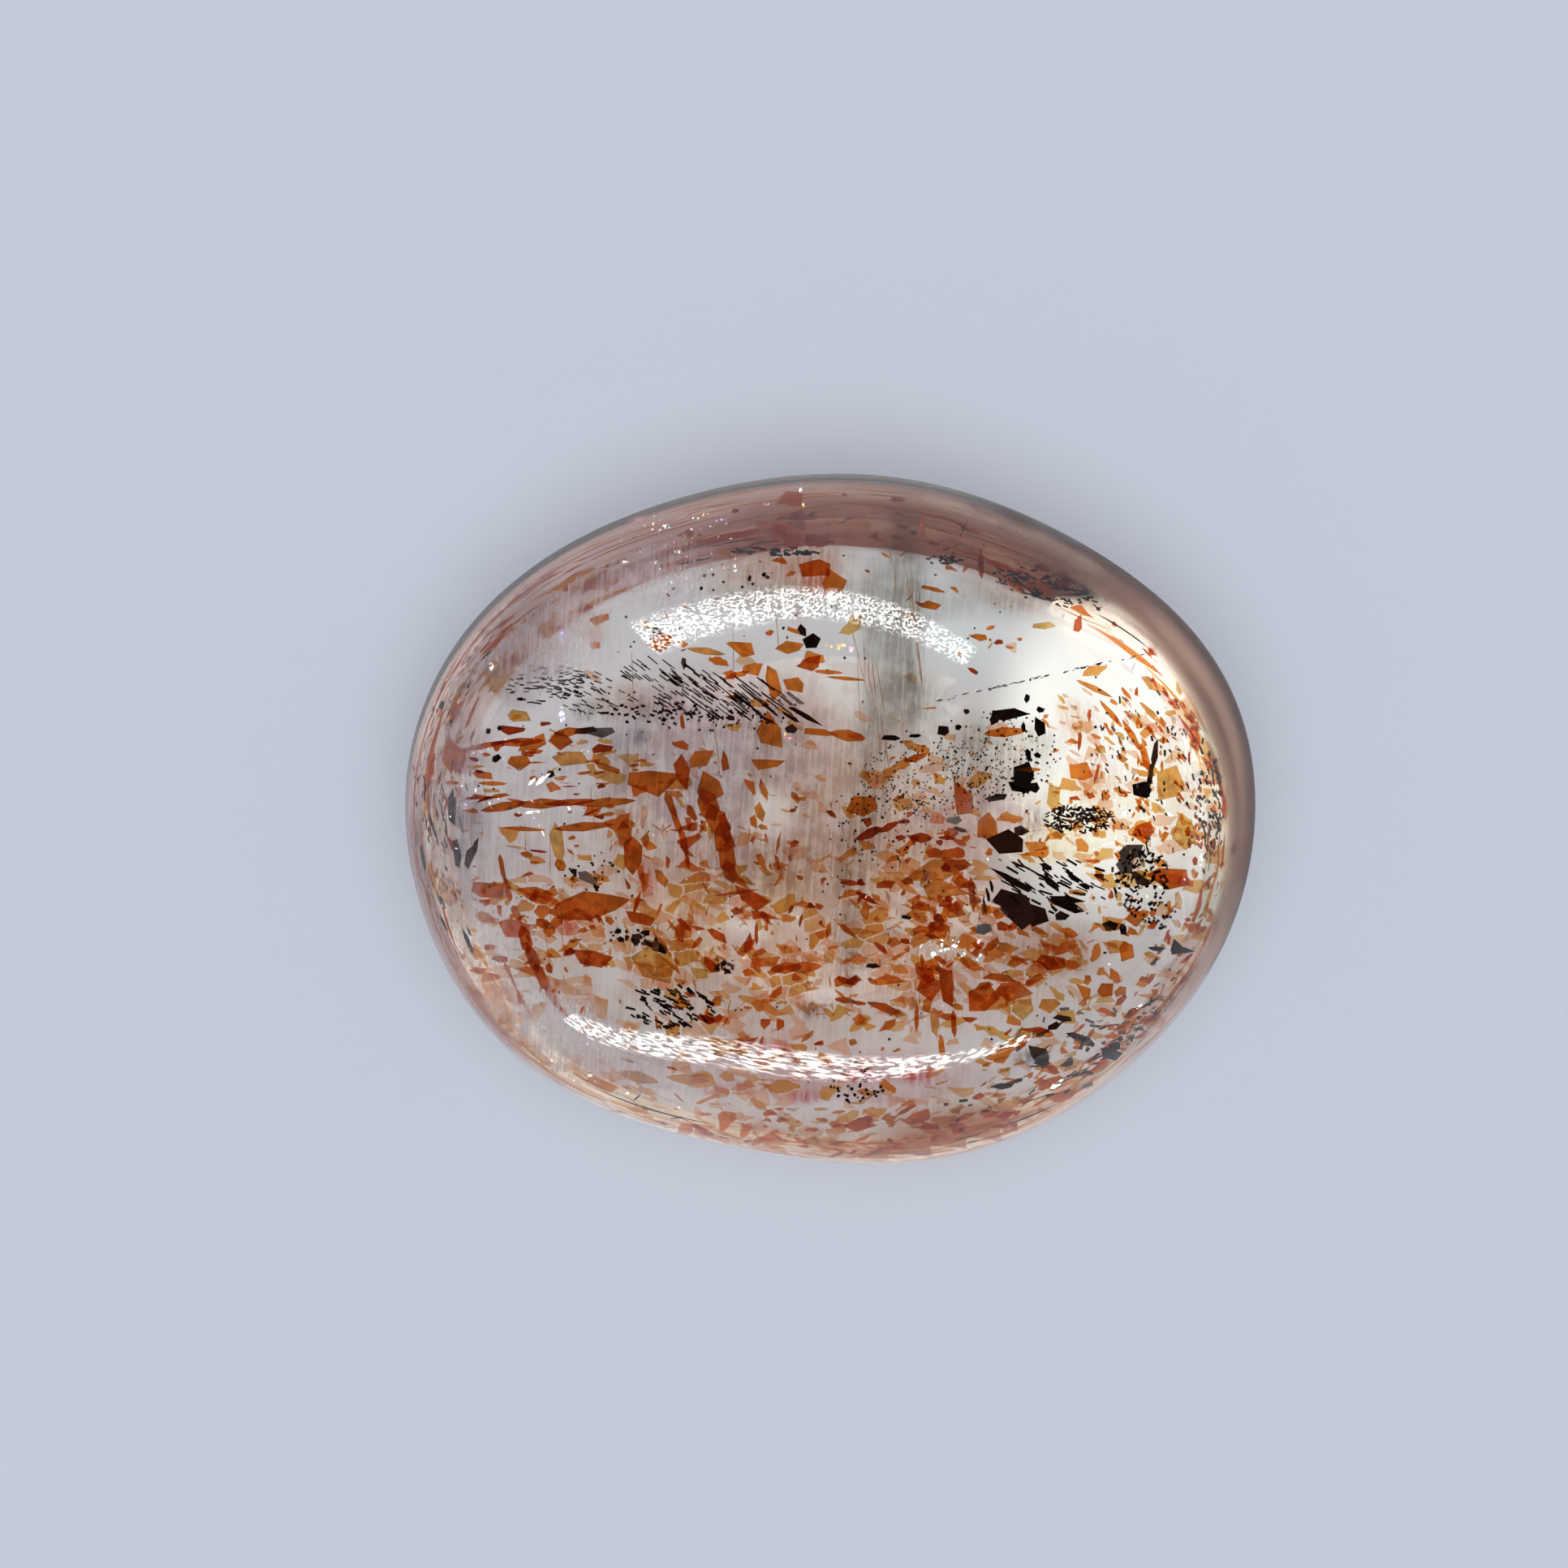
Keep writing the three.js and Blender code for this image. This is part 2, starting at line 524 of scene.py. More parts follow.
# The tubes' covers are pebbled, so their reflections look like sugar. A pebble's size in mm,
# along the tube and up:
PEBBLES = {"rear_tube": (1.1, 2.6), "front_tube": (3.0, 2.0)}
PEBBLE_CONTRAST = (0.44, 0.64)  # noise values that are dark and bright


def along_points(points, share):
    """The values at this share of the way along a row of points."""
    place = share * (len(points) - 1)
    first = min(int(place), len(points) - 2)
    part = place - first
    return [a + (b - a) * part for a, b in zip(points[first], points[first + 1])]


def curved_lamp(name, points, radiance, joints=0, pebble=None, fades_from=1.0):
    """A curved strip of light with soft edges and dark joints. It may dim towards its end."""
    rows = []
    for side in (-1, 1):
        row = []
        for k in range(LAMP_STEPS + 1):
            azimuth, elevation, half_height = along_points(points, k / LAMP_STEPS)
            row.append(direction(azimuth, elevation + side * half_height) * LAMP_DISTANCE)
        rows.append(row)
    strip = ribbon(name, rows)
    material, tree, output = new_material(name)
    place = add_node(tree, "ShaderNodeUVMap", {"uv_map": "along"})
    split = add_node(tree, "ShaderNodeSeparateXYZ", {}, {"Vector": place.outputs["UV"]})
    saw = add_node(tree, "ShaderNodeMath", {"operation": "MULTIPLY"}, {
        0: split.outputs["X"],
        1: joints + 1.0,
    })
    tooth = add_node(tree, "ShaderNodeMath", {"operation": "PINGPONG"}, {0: saw.outputs[0], 1: 0.5})
    lit = add_node(tree, "ShaderNodeMapRange", {}, {
        "Value": tooth.outputs[0],
        "From Min": 0.02,
        "From Max": 0.14,
        "To Min": JOINT_LIGHT if joints else 1.0,
        "To Max": 1.0,
    })
    edge = add_node(tree, "ShaderNodeMath", {"operation": "PINGPONG"}, {0: split.outputs["Y"], 1: 0.5})
    soft = add_node(tree, "ShaderNodeMapRange", {"interpolation_type": "SMOOTHSTEP"}, {
        "Value": edge.outputs[0],
        "From Max": SOFT_EDGE,
        "To Max": radiance,
    })
    level = add_node(tree, "ShaderNodeMath", {"operation": "MULTIPLY"}, {
        0: lit.outputs["Result"],
        1: soft.outputs["Result"],
    })
    if fades_from < 1.0:
        dimmer = add_node(tree, "ShaderNodeMapRange", {"interpolation_type": "SMOOTHSTEP"}, {
            "Value": split.outputs["X"],
            "From Min": fades_from,
            "To Min": 1.0,
            "To Max": WINDOW_END_LIGHT,
        })
        level = add_node(tree, "ShaderNodeMath", {"operation": "MULTIPLY"}, {
            0: level.outputs[0],
            1: dimmer.outputs["Result"],
        })
    if pebble:
        along, up = pebble
        spot = add_node(tree, "ShaderNodeTexCoord")
        squeezed = add_node(tree, "ShaderNodeMapping", {}, {
            "Vector": spot.outputs["Object"],
            "Scale": (1 / (along * MM), 1 / (along * MM), 1 / (up * MM)),
        })
        grains = add_node(tree, "ShaderNodeTexNoise", {}, {
            "Vector": squeezed.outputs["Vector"],
            "Scale": 1.0,
            "Detail": 2.0,
        })
        sugar = add_node(tree, "ShaderNodeMapRange", {}, {
            "Value": grains.outputs["Fac"],
            "From Min": PEBBLE_CONTRAST[0],
            "From Max": PEBBLE_CONTRAST[1],
        })
        level = add_node(tree, "ShaderNodeMath", {"operation": "MULTIPLY"}, {
            0: level.outputs[0],
            1: sugar.outputs["Result"],
        })
    glow = add_node(tree, "ShaderNodeEmission", {}, {"Strength": level.outputs[0]})
    tree.links.new(glow.outputs["Emission"], output.inputs["Surface"])
    strip.data.materials.append(material)
    strip.visible_camera = False
    strip.visible_diffuse = False
    print(name, "lit")
    return strip


for tube_name, tube_points in TUBES.items():
    tube = curved_lamp(tube_name, tube_points, TUBE_RADIANCE, TUBE_JOINTS, PEBBLES[tube_name])
    tube.visible_transmission = False
side_window = curved_lamp("side_window", WINDOW, WINDOW_RADIANCE, fades_from=WINDOW_FADES_FROM)
side_window.visible_glossy = False

# %% [markdown]
# ## The pool of light under the stone
# A domed stone works as a lens and gathers the light of the window into a bright pool on
# the floor, under its far side. A path tracer finds such light only by chance, so a soft
# glowing patch on the floor stands in for it. Only sight lines that come out of the
# stone can see it.

# %% Pool of light
POOL_MIDDLE = (2.6, 0.4)        # mm
POOL_REACH = (1.2, 1.65)        # mm, half width and half depth
POOL_RADIANCE = 1.3
POOL_SHARE = 0.8                # how much of the floor it covers in its middle
POOL_LIFT = 0.3                 # share of the air gap by which it lies above the floor
POOL_CORNERS = 32


def light_pool():
    """A flat oval just above the floor whose glow fades out to its rim."""
    height = -FLOOR_GAP * (1 - POOL_LIFT)
    points = []
    for k in range(POOL_CORNERS):
        angle = 2 * math.pi * k / POOL_CORNERS
        x = POOL_MIDDLE[0] + POOL_REACH[0] * math.cos(angle)
        y = POOL_MIDDLE[1] + POOL_REACH[1] * math.sin(angle)
        points.append(Vector((x, y, height)) * MM)
    mesh = bpy.data.meshes.new("light_pool")
    mesh.from_pydata(points, [], [list(range(POOL_CORNERS))])
    pool = add_object("light_pool", mesh)
    material, tree, output = new_material("light_pool")
    place = add_node(tree, "ShaderNodeTexCoord")
    centred = add_node(tree, "ShaderNodeMapping", {"vector_type": "TEXTURE"}, {
        "Vector": place.outputs["Object"],
        "Location": (POOL_MIDDLE[0] * MM, POOL_MIDDLE[1] * MM, height * MM),
        "Scale": (POOL_REACH[0] * MM, POOL_REACH[1] * MM, 1.0),
    })
    away = add_node(tree, "ShaderNodeVectorMath", {"operation": "LENGTH"}, {0: centred.outputs["Vector"]})
    fade = add_node(tree, "ShaderNodeMapRange", {"interpolation_type": "SMOOTHSTEP"}, {
        "Value": away.outputs["Value"],
        "From Min": 0.45,
        "To Min": POOL_SHARE,
        "To Max": 0.0,
    })
    glow = add_node(tree, "ShaderNodeEmission", {}, {"Strength": POOL_RADIANCE})
    clear = add_node(tree, "ShaderNodeBsdfTransparent")
    mixed = add_node(tree, "ShaderNodeMixShader", {}, {
        "Fac": fade.outputs["Result"],
        1: clear.outputs["BSDF"],
        2: glow.outputs["Emission"],
    })
    tree.links.new(mixed.outputs[0], output.inputs["Surface"])
    mesh.materials.append(material)
    pool.visible_camera = False
    pool.visible_diffuse = False
    pool.visible_glossy = False
    print("pool of light, mm:", POOL_MIDDLE, POOL_REACH)


light_pool()

# %% Render settings that belong to glass
# Light crosses the polish and many flakes on its way, so it needs more bounces than usual.
scene = bpy.context.scene
scene.view_settings.view_transform = "Standard"
scene.cycles.max_bounces = 9
scene.cycles.transmission_bounces = 9
scene.cycles.glossy_bounces = 6
scene.cycles.diffuse_bounces = 1
scene.cycles.transparent_max_bounces = 64
scene.cycles.blur_glossy = 0.0
print("light bounces:", scene.cycles.max_bounces)

# %% [markdown]
# ## Sight lines into the stone
# The flakes lie inside, so a place in the photo isn't yet a place in the stone. A sight
# line bends where it enters the dome, by the law of refraction, and runs on straight to
# the underside. Following it gives every point that shows at that pixel, and a share of
# the way down picks one. Two neighbouring sight lines show how far the plane of a flake
# is seen from one pixel to the next, so that it gets its right size and slant too.

# %% Follow a sight line
DOME_RADII = Vector((STONE_LENGTH / 2, STONE_WIDTH / 2, DOME_HEIGHT))
DOME_MIDDLE = Vector((0, 0, GIRDLE_HEIGHT))
SKIN = 0.05                     # mm of clear stone kept between a flake and the polish
PATH_STEP = 0.06                # mm from one test for the underside to the next


def inside_stone(point, skin=SKIN):
    """True if a point, in mm, lies in the stone and this far from its surface."""
    x = point.x / DOME_RADII.x
    y = point.y / DOME_RADII.y
    wave = outline_wave(math.atan2(y, x)) / DOME_RADII.y
    share = math.hypot(x, y)
    share = share / (1 + wave * share) + skin / DOME_RADII.y
    if share >= 1:
        return False
    return underside_height(share) + skin < point.z < dome_height(share) - skin


def sight_line(column, row):
    """Entry point and inner direction of the sight line at a photo pixel, or None."""
    aimed = (view_middle + sight_right * (column - PHOTO_SIDE / 2) / PIXELS_PER_MM
             + sight_up * (PHOTO_SIDE / 2 - row) / PIXELS_PER_MM)
    ray = (aimed - eye).normalized()
    start = Vector([(eye - DOME_MIDDLE)[k] / DOME_RADII[k] for k in range(3)])
    step = Vector([ray[k] / DOME_RADII[k] for k in range(3)])
    half_way = start.dot(step)
    spread = half_way ** 2 - step.length_squared * (start.length_squared - 1)
    if spread <= 0:
        return None
    entry = eye + ray * (-half_way - math.sqrt(spread)) / step.length_squared
    if entry.z < GIRDLE_HEIGHT:
        return None
    normal = Vector([(entry - DOME_MIDDLE)[k] / DOME_RADII[k] ** 2 for k in range(3)]).normalized()
    ratio = 1 / FELDSPAR_IOR
    slope = -normal.dot(ray)
    bent = ray * ratio + normal * (ratio * slope - math.sqrt(1 - ratio ** 2 * (1 - slope ** 2)))
    return entry, bent.normalized()


def path_length(entry, heading):
    """How far a sight line runs inside before it meets the underside, in mm."""
    length = 2 * PATH_STEP
    while length < STONE_LENGTH and inside_stone(entry + heading * length, 0.0):
        length += PATH_STEP
    return length


entry_point, inner_heading = sight_line(*STONE_MIDDLE)
print("path through the middle, mm:", round(path_length(entry_point, inner_heading), 2))

# %% Plant one flake
NEIGHBOUR = 5                   # pixels to the next sight line
TRIES = 7                       # how often a flake that would break the polish is moved in
MOVE_IN = 0.4                   # share of the way to the middle of its sight line
SHRINK = 0.88                   # and how much of its size it keeps
random.seed(7)


def seen_step(column, row, seat, normal, along_row, along_column):
    """How far the plane of a flake moves for one photo pixel, or None."""
    for side in (1, -1):
        beside = sight_line(column + side * along_row * NEIGHBOUR, row + side * along_column * NEIGHBOUR)
        if beside:
            entry, heading = beside
            reach = (seat - entry).dot(normal) / heading.dot(normal)
            return (entry + heading * reach - seat) / (side * NEIGHBOUR)
    return None


def plant(column, row, long, wide, turn, depth, lean):
    """Seat and half sides of a flake that shows at a photo pixel with these sizes in pixels."""
    line = sight_line(column, row)
    if not line:
        return None
    entry, heading = line
    reach = path_length(entry, heading)
    way = Vector((random.gauss(0, 1), random.gauss(0, 1), random.gauss(0, 1)))
    way = (way - heading * way.dot(heading)).normalized()
    normal = -heading * math.cos(lean) + way * math.sin(lean)
    for _ in range(TRIES):
        seat = entry + heading * reach * depth
        right = seen_step(column, row, seat, normal, 1, 0)
        up = seen_step(column, row, seat, normal, 0, -1)
        if not right or not up:
            return None
        side_x = (right * math.cos(turn) + up * math.sin(turn)) * long / 2
        side_y = (up * math.cos(turn) - right * math.sin(turn)) * wide / 2
        corners = [seat + side_x * a + side_y * b for a in (-1, 1) for b in (-1, 1)]
        if all(inside_stone(corner) for corner in corners):
            return seat, side_x, side_y, side_x.cross(side_y).normalized()
        depth += (0.5 - depth) * MOVE_IN
        long *= SHRINK
        wide *= SHRINK
    return None


print("clear skin over every flake, mm:", SKIN)

# %% [markdown]
# ## Grow flakes on their seats
# Hematite grows in feldspar as plates a few thousandths of a millimetre thick, cut off by
# the crystal's own directions, so they end in corners and ragged steps. Geometry Nodes
# put the same low slab on every seat, realize it, and then move each of its corners to
# where the seat's own two sides put it, with a little noise for the ragged edge. The
# place in the slab is kept as an attribute, because the colours follow it later.

# %% Geometry Nodes tree for flakes
FLAKE_INPUTS = (                # name, kind of socket, usual value
    ("Sides", "NodeSocketInt", 8),
    ("Corner Turn", "NodeSocketFloat", 0.0),
    ("Corner Reach", "NodeSocketFloat", 1.0),
    ("Corner Spin", "NodeSocketFloat", 0.0),
    ("Raggedness", "NodeSocketFloat", 0.3),
    ("Pointed", "NodeSocketFloat", 0.0),
    ("Half Thickness", "NodeSocketFloat", 0.004 * MM),
    ("Seed", "NodeSocketFloat", 1.0),
    ("Material", "NodeSocketMaterial", None),
    ("Back Material", "NodeSocketMaterial", None),
)
SEAT_VECTORS = ("seat", "side_x", "side_y", "across")
NUMBER_STEP = 3.7               # how far apart in the noise two flakes lie
LUMP_SCALE = 2.6                # lumps across a flake
WHOLE = 0.36                    # noise value at which nothing is bitten off
BITE_DEPTH = 2.6
CORNER_SLIDE = 2.4              # how far a ragged flake's corners slide out of a regular shape
SIDE_HEIGHT = 0.5               # only faces above this height of the slab belong to its top

# result, operation, and what goes in: an input, an earlier result or a number
CORNER_STEPS = (
    ("bite", "SUBTRACT", "lump", WHOLE),
    ("bite", "MULTIPLY", "bite", BITE_DEPTH),
    ("bite", "MULTIPLY", "bite", "Raggedness"),
    ("kept", "SUBTRACT", 1.0, "bite"),
    ("reach", "MULTIPLY", "Raggedness", CORNER_SLIDE),
    ("slide along", "SUBTRACT", "slide Y", 0.5),
    ("slide along", "MULTIPLY", "slide along", "reach"),
    ("slide aside", "SUBTRACT", "slide Z", 0.5),
    ("slide aside", "MULTIPLY", "slide aside", "reach"),
    ("narrow", "MULTIPLY", "corner X", "corner X"),
    ("narrow", "MULTIPLY", "narrow", "Pointed"),
    ("slim", "SUBTRACT", 1.0, "narrow"),
    ("slim", "MULTIPLY", "kept", "slim"),
    ("side_x", "MULTIPLY_ADD", "corner X", "kept", "slide along"),
    ("side_y", "MULTIPLY_ADD", "corner Y", "slim", "slide aside"),
    ("across", "MULTIPLY", "local Z", "Half Thickness"),
)


def flake_tree():
    """A tree that puts a slab on every seat and moves its corners into a flake's shape."""
    tree = bpy.data.node_groups.new("grow flakes", "GeometryNodeTree")
    tree.interface.new_socket("Geometry", in_out="INPUT", socket_type="NodeSocketGeometry")
    for name, kind, usual in FLAKE_INPUTS:
        socket = tree.interface.new_socket(name, in_out="INPUT", socket_type=kind)
        if usual is not None:
            socket.default_value = usual
    tree.interface.new_socket("Geometry", in_out="OUTPUT", socket_type="NodeSocketGeometry")
    given = add_node(tree, "NodeGroupInput").outputs
    result = add_node(tree, "NodeGroupOutput")

    slab = add_node(tree, "GeometryNodeMeshCylinder", {"fill_type": "NGON"}, {
        "Vertices": given["Sides"],
        "Radius": 1.0,
        "Depth": 2.0,
    })
    spin = add_node(tree, "ShaderNodeCombineXYZ", {}, {"Z": given["Corner Turn"]})
    stretch = add_node(tree, "ShaderNodeCombineXYZ", {}, {
        "X": given["Corner Reach"],
        "Y": given["Corner Reach"],
        "Z": 1.0,
    })
    turned = add_node(tree, "GeometryNodeTransform", {}, {
        "Geometry": slab.outputs["Mesh"],
        "Rotation": spin.outputs[0],
    })
    spread = add_node(tree, "GeometryNodeTransform", {}, {
        "Geometry": turned.outputs[0],
        "Scale": stretch.outputs[0],
    })
    where = add_node(tree, "GeometryNodeInputPosition")
    marked = add_node(tree, "GeometryNodeStoreNamedAttribute", {"data_type": "FLOAT_VECTOR"}, {
        "Geometry": spread.outputs[0],
        "Name": "local",
        "Value": where.outputs[0],
    })
    planted = add_node(tree, "GeometryNodeInstanceOnPoints", {}, {
        "Points": given["Geometry"],
        "Instance": marked.outputs[0],
    })
    real = add_node(tree, "GeometryNodeRealizeInstances", {}, {"Geometry": planted.outputs[0]})

    held = {}
    for name in ("number", "local", *SEAT_VECTORS):
        kind = "FLOAT" if name == "number" else "FLOAT_VECTOR"
        attribute = add_node(tree, "GeometryNodeInputNamedAttribute", {"data_type": kind}, {"Name": name})
        held[name] = attribute.outputs[0]
    local = add_node(tree, "ShaderNodeSeparateXYZ", {}, {0: held["local"]})
    level = add_node(tree, "ShaderNodeCombineXYZ", {}, {"X": local.outputs["X"], "Y": local.outputs["Y"]})
    own = add_node(tree, "ShaderNodeMath", {"operation": "MULTIPLY_ADD"}, {
        0: held["number"],
        1: NUMBER_STEP,
        2: given["Seed"],
    })
    lumps = add_node(tree, "ShaderNodeTexNoise", {"noise_dimensions": "4D"}, {
        "Vector": level.outputs[0],
        "W": own.outputs[0],
        "Scale": LUMP_SCALE,
        "Detail": 1.0,
    })
    angle = add_node(tree, "ShaderNodeMath", {"operation": "MULTIPLY"}, {
        0: own.outputs[0],
        1: given["Corner Spin"],
    })
    twisted = add_node(tree, "ShaderNodeVectorRotate", {"rotation_type": "Z_AXIS"}, {
        "Vector": level.outputs[0],
        "Angle": angle.outputs[0],
    })
    corner = add_node(tree, "ShaderNodeSeparateXYZ", {}, {0: twisted.outputs[0]})
    slide = add_node(tree, "ShaderNodeSeparateXYZ", {}, {0: lumps.outputs["Color"]})

    known = {name: given[name] for name in ("Raggedness", "Pointed", "Half Thickness")}
    known["lump"] = lumps.outputs["Fac"]
    for name, split in (("local", local), ("corner", corner), ("slide", slide)):
        for axis in "XYZ":
            known[name + " " + axis] = split.outputs[axis]
    for name, operation, *terms in CORNER_STEPS:
        inputs = {place: known.get(term, term) for place, term in enumerate(terms)}
        known[name] = add_node(tree, "ShaderNodeMath", {"operation": operation}, inputs).outputs[0]
    spot = held["seat"]
    for name in SEAT_VECTORS[1:]:
        side = add_node(tree, "ShaderNodeVectorMath", {"operation": "SCALE"}, {
            0: held[name],
            "Scale": known[name],
        })
        spot = add_node(tree, "ShaderNodeVectorMath", {"operation": "ADD"}, {
            0: spot,
            1: side.outputs[0],
        }).outputs[0]
    placed = add_node(tree, "GeometryNodeSetPosition", {}, {"Geometry": real.outputs[0], "Position": spot})

    bare = placed.outputs[0]
    for name in SEAT_VECTORS:
        bare = add_node(tree, "GeometryNodeRemoveAttribute", {}, {"Geometry": bare, "Name": name}).outputs[0]
    painted = add_node(tree, "GeometryNodeSetMaterial", {}, {"Geometry": bare, "Material": given["Material"]})
    not_top = add_node(tree, "FunctionNodeCompare", {"data_type": "FLOAT", "operation": "LESS_THAN"}, {
        "A": local.outputs["Z"],
        "B": SIDE_HEIGHT,
    })
    backed = add_node(tree, "GeometryNodeSetMaterial", {}, {
        "Geometry": painted.outputs[0],
        "Selection": not_top.outputs["Result"],
        "Material": given["Back Material"],
    })
    tree.links.new(backed.outputs[0], result.inputs[0])
    return tree


grow_flakes = flake_tree()
print("nodes of the tree:", len(grow_flakes.nodes))

# %% Turn a list of flakes into one piece
def grow(name, flakes, material, settings):
    """Plants every flake of a list, grows them and hands the piece over to the frame."""
    seats = []
    for column, row, long, wide, turn, shade, depth, lean in flakes:
        spot = plant(column, row, long, wide, math.radians(turn), depth, math.radians(lean))
        if spot:
            seats.append((*spot, shade))
    mesh = bpy.data.meshes.new(name)
    mesh.from_pydata([seat[0] * MM for seat in seats], [], [])
    for place, key in enumerate(SEAT_VECTORS):
        unit = 1.0 if key == "across" else MM
        values = [number * unit for seat in seats for number in seat[place]]
        mesh.attributes.new(key, "FLOAT_VECTOR", "POINT").data.foreach_set("vector", values)
    mesh.attributes.new("shade", "FLOAT", "POINT").data.foreach_set("value", [seat[-1] for seat in seats])
    mesh.attributes.new("number", "FLOAT", "POINT").data.foreach_set("value", list(range(len(seats))))
    piece = add_object(name, mesh)
    growth = piece.modifiers.new("grow", "NODES")
    growth.node_group = grow_flakes
    choices = {**settings, "Material": material, "Back Material": clear_back}
    for item in grow_flakes.interface.items_tree:
        if item.in_out == "INPUT" and item.name in choices:
            growth[item.identifier] = choices[item.name]
    piece.update_tag()
    bpy.context.view_layer.update()
    evaluated = piece.evaluated_get(bpy.context.evaluated_depsgraph_get())
    grown = bpy.data.meshes.new_from_object(evaluated)
    piece.modifiers.remove(growth)
    piece.data = grown
    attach(piece, "root")
    print(name, len(seats), "of", len(flakes), "planted,", len(grown.polygons), "faces")

# %% [markdown]
# ## Hematite, seen by the light behind it
# A hematite plate this thin lets red and orange light through, and a thicker one almost
# none, so it looks black. The same iron oxide therefore gives red, orange and ochre
# flakes. Each shader mixes a solid surface, a glow from behind and a tinted film. The
# shade of each flake picks its colour, its rim is darker, and its face is mottled.

# %% Hematite materials
DEEP_RED, RED, ORANGE, OCHRE, SALMON = 0.0, 0.25, 0.5, 0.75, 1.0
FLAKE_COLOURS = (
    (DEEP_RED, "a63c18"),
    (RED, "cc6024"),
    (ORANGE, "e28634"),
    (OCHRE, "e8bc70"),
    (SALMON, "f6d6c0"),
)
DARK_COLOURS = (
    (0.0, "0a0706"),
    (0.4, "2c140c"),
    (0.7, "56423c"),
    (1.0, "7c8288"),
)
RIM_FROM = 0.7                  # share of the way out where a flake's rim starts to darken
RIM_LIGHT = 0.82                # brightness of the rim
BLOTCH_SIZE = 0.16              # mm
BLOTCH_LIGHT = (0.7, 1.1)       # darkest and brightest blotch
BACKLIT_SHARE = 0.45            # of the solid part, how much is lit from behind


def shade_colour(tree, colours):
    """The colour that each flake's own shade picks."""
    shade = add_node(tree, "ShaderNodeAttribute", {"attribute_name": "shade"})
    colour = add_node(tree, "ShaderNodeValToRGB", {}, {"Fac": shade.outputs["Fac"]})
    fill_ramp(colour, colours)
    return colour.outputs["Color"]


def off_middle(tree):
    """How far out on its flake a point lies: 0 in the middle, 1 at the corners."""
    local = add_node(tree, "ShaderNodeAttribute", {"attribute_name": "local"})
    parts = add_node(tree, "ShaderNodeSeparateXYZ", {}, {"Vector": local.outputs["Vector"]})
    level = add_node(tree, "ShaderNodeCombineXYZ", {}, {"X": parts.outputs["X"], "Y": parts.outputs["Y"]})
    radius = add_node(tree, "ShaderNodeVectorMath", {"operation": "LENGTH"}, {0: level.outputs[0]})
    return radius.outputs["Value"]


def hematite(name, colours, see_through, shine):
    """A thin plate: a solid surface, light from behind and a tinted film, mixed."""
    material, tree, output = new_material(name)
    rim = add_node(tree, "ShaderNodeMapRange", {"interpolation_type": "SMOOTHSTEP"}, {
        "Value": off_middle(tree),
        "From Min": RIM_FROM,
        "To Min": 1.0,
        "To Max": RIM_LIGHT,
    })
    place = add_node(tree, "ShaderNodeTexCoord")
    blotches = add_node(tree, "ShaderNodeTexNoise", {}, {
        "Vector": place.outputs["Object"],
        "Scale": 1 / (BLOTCH_SIZE * MM),
        "Detail": 2.0,
        "Roughness": 0.65,
    })
    mottled = add_node(tree, "ShaderNodeMapRange", {}, {
        "Value": blotches.outputs["Fac"],
        "From Min": 0.32,
        "From Max": 0.62,
        "To Min": BLOTCH_LIGHT[0],
        "To Max": BLOTCH_LIGHT[1],
    })
    dim = add_node(tree, "ShaderNodeMath", {"operation": "MULTIPLY"}, {
        0: rim.outputs["Result"],
        1: mottled.outputs["Result"],
    })
    tint = add_node(tree, "ShaderNodeVectorMath", {"operation": "SCALE"}, {
        0: shade_colour(tree, colours),
        "Scale": dim.outputs[0],
    })
    surface = add_node(tree, "ShaderNodeBsdfPrincipled", {}, {
        "Base Color": tint.outputs[0],
        "Roughness": 0.45,
        "Specular IOR Level": shine,
    })
    glow = add_node(tree, "ShaderNodeBsdfTranslucent", {}, {"Color": tint.outputs[0]})
    film = add_node(tree, "ShaderNodeBsdfTransparent", {}, {"Color": tint.outputs[0]})
    solid = add_node(tree, "ShaderNodeMixShader", {}, {
        "Fac": BACKLIT_SHARE,
        1: surface.outputs["BSDF"],
        2: glow.outputs["BSDF"],
    })
    mixed = add_node(tree, "ShaderNodeMixShader", {}, {
        "Fac": see_through,
        1: solid.outputs[0],
        2: film.outputs["BSDF"],
    })
    tree.links.new(mixed.outputs[0], output.inputs["Surface"])
    return material


orange_hematite = hematite("thin_orange_hematite", FLAKE_COLOURS, see_through=0.90, shine=0.3)
dark_hematite = hematite("thick_dark_hematite", DARK_COLOURS, see_through=0.04, shine=0.05)

# Light is tinted once as it crosses a flake, by its upper face, so the rest is clear.
clear_back, back_tree, back_output = new_material("clear_back_of_a_flake")
nothing = add_node(back_tree, "ShaderNodeBsdfTransparent")
back_tree.links.new(nothing.outputs["BSDF"], back_output.inputs["Surface"])
print("hematite colours:", [colour for _, colour in FLAKE_COLOURS + DARK_COLOURS])

# %% [markdown]
# ## Veils, growth lines and glints
# Feldspar also holds flat patches of hair-fine needles and healed cracks. They are too
# fine to see one by one, and show as soft stains and streaks. A slab with a thin, blurred
# and streaky cover stands for each. Where a crack or a plate lies level and is open to
# the lamp, it flashes white, gold, or in the colours of a thin film.

# %% Veil material
SMOKE, MAUVE, CRIMSON, RUST, BEIGE, MILK = 0.0, 0.2, 0.4, 0.6, 0.8, 1.0
VEIL_COLOURS = (
    (SMOKE, "80807e"),
    (MAUVE, "9a7276"),
    (CRIMSON, "e0607a"),
    (RUST, "d87848"),
    (BEIGE, "e8bc98"),
    (MILK, "fafcff"),
)
STREAK_WIDTH = 0.06             # mm, drawn wider than real needles are
STREAK_STRETCH = (1.0, 0.22, 0.4)
SCATTERED_SHARE = 0.2           # of what a veil covers, how much scatters instead of tinting


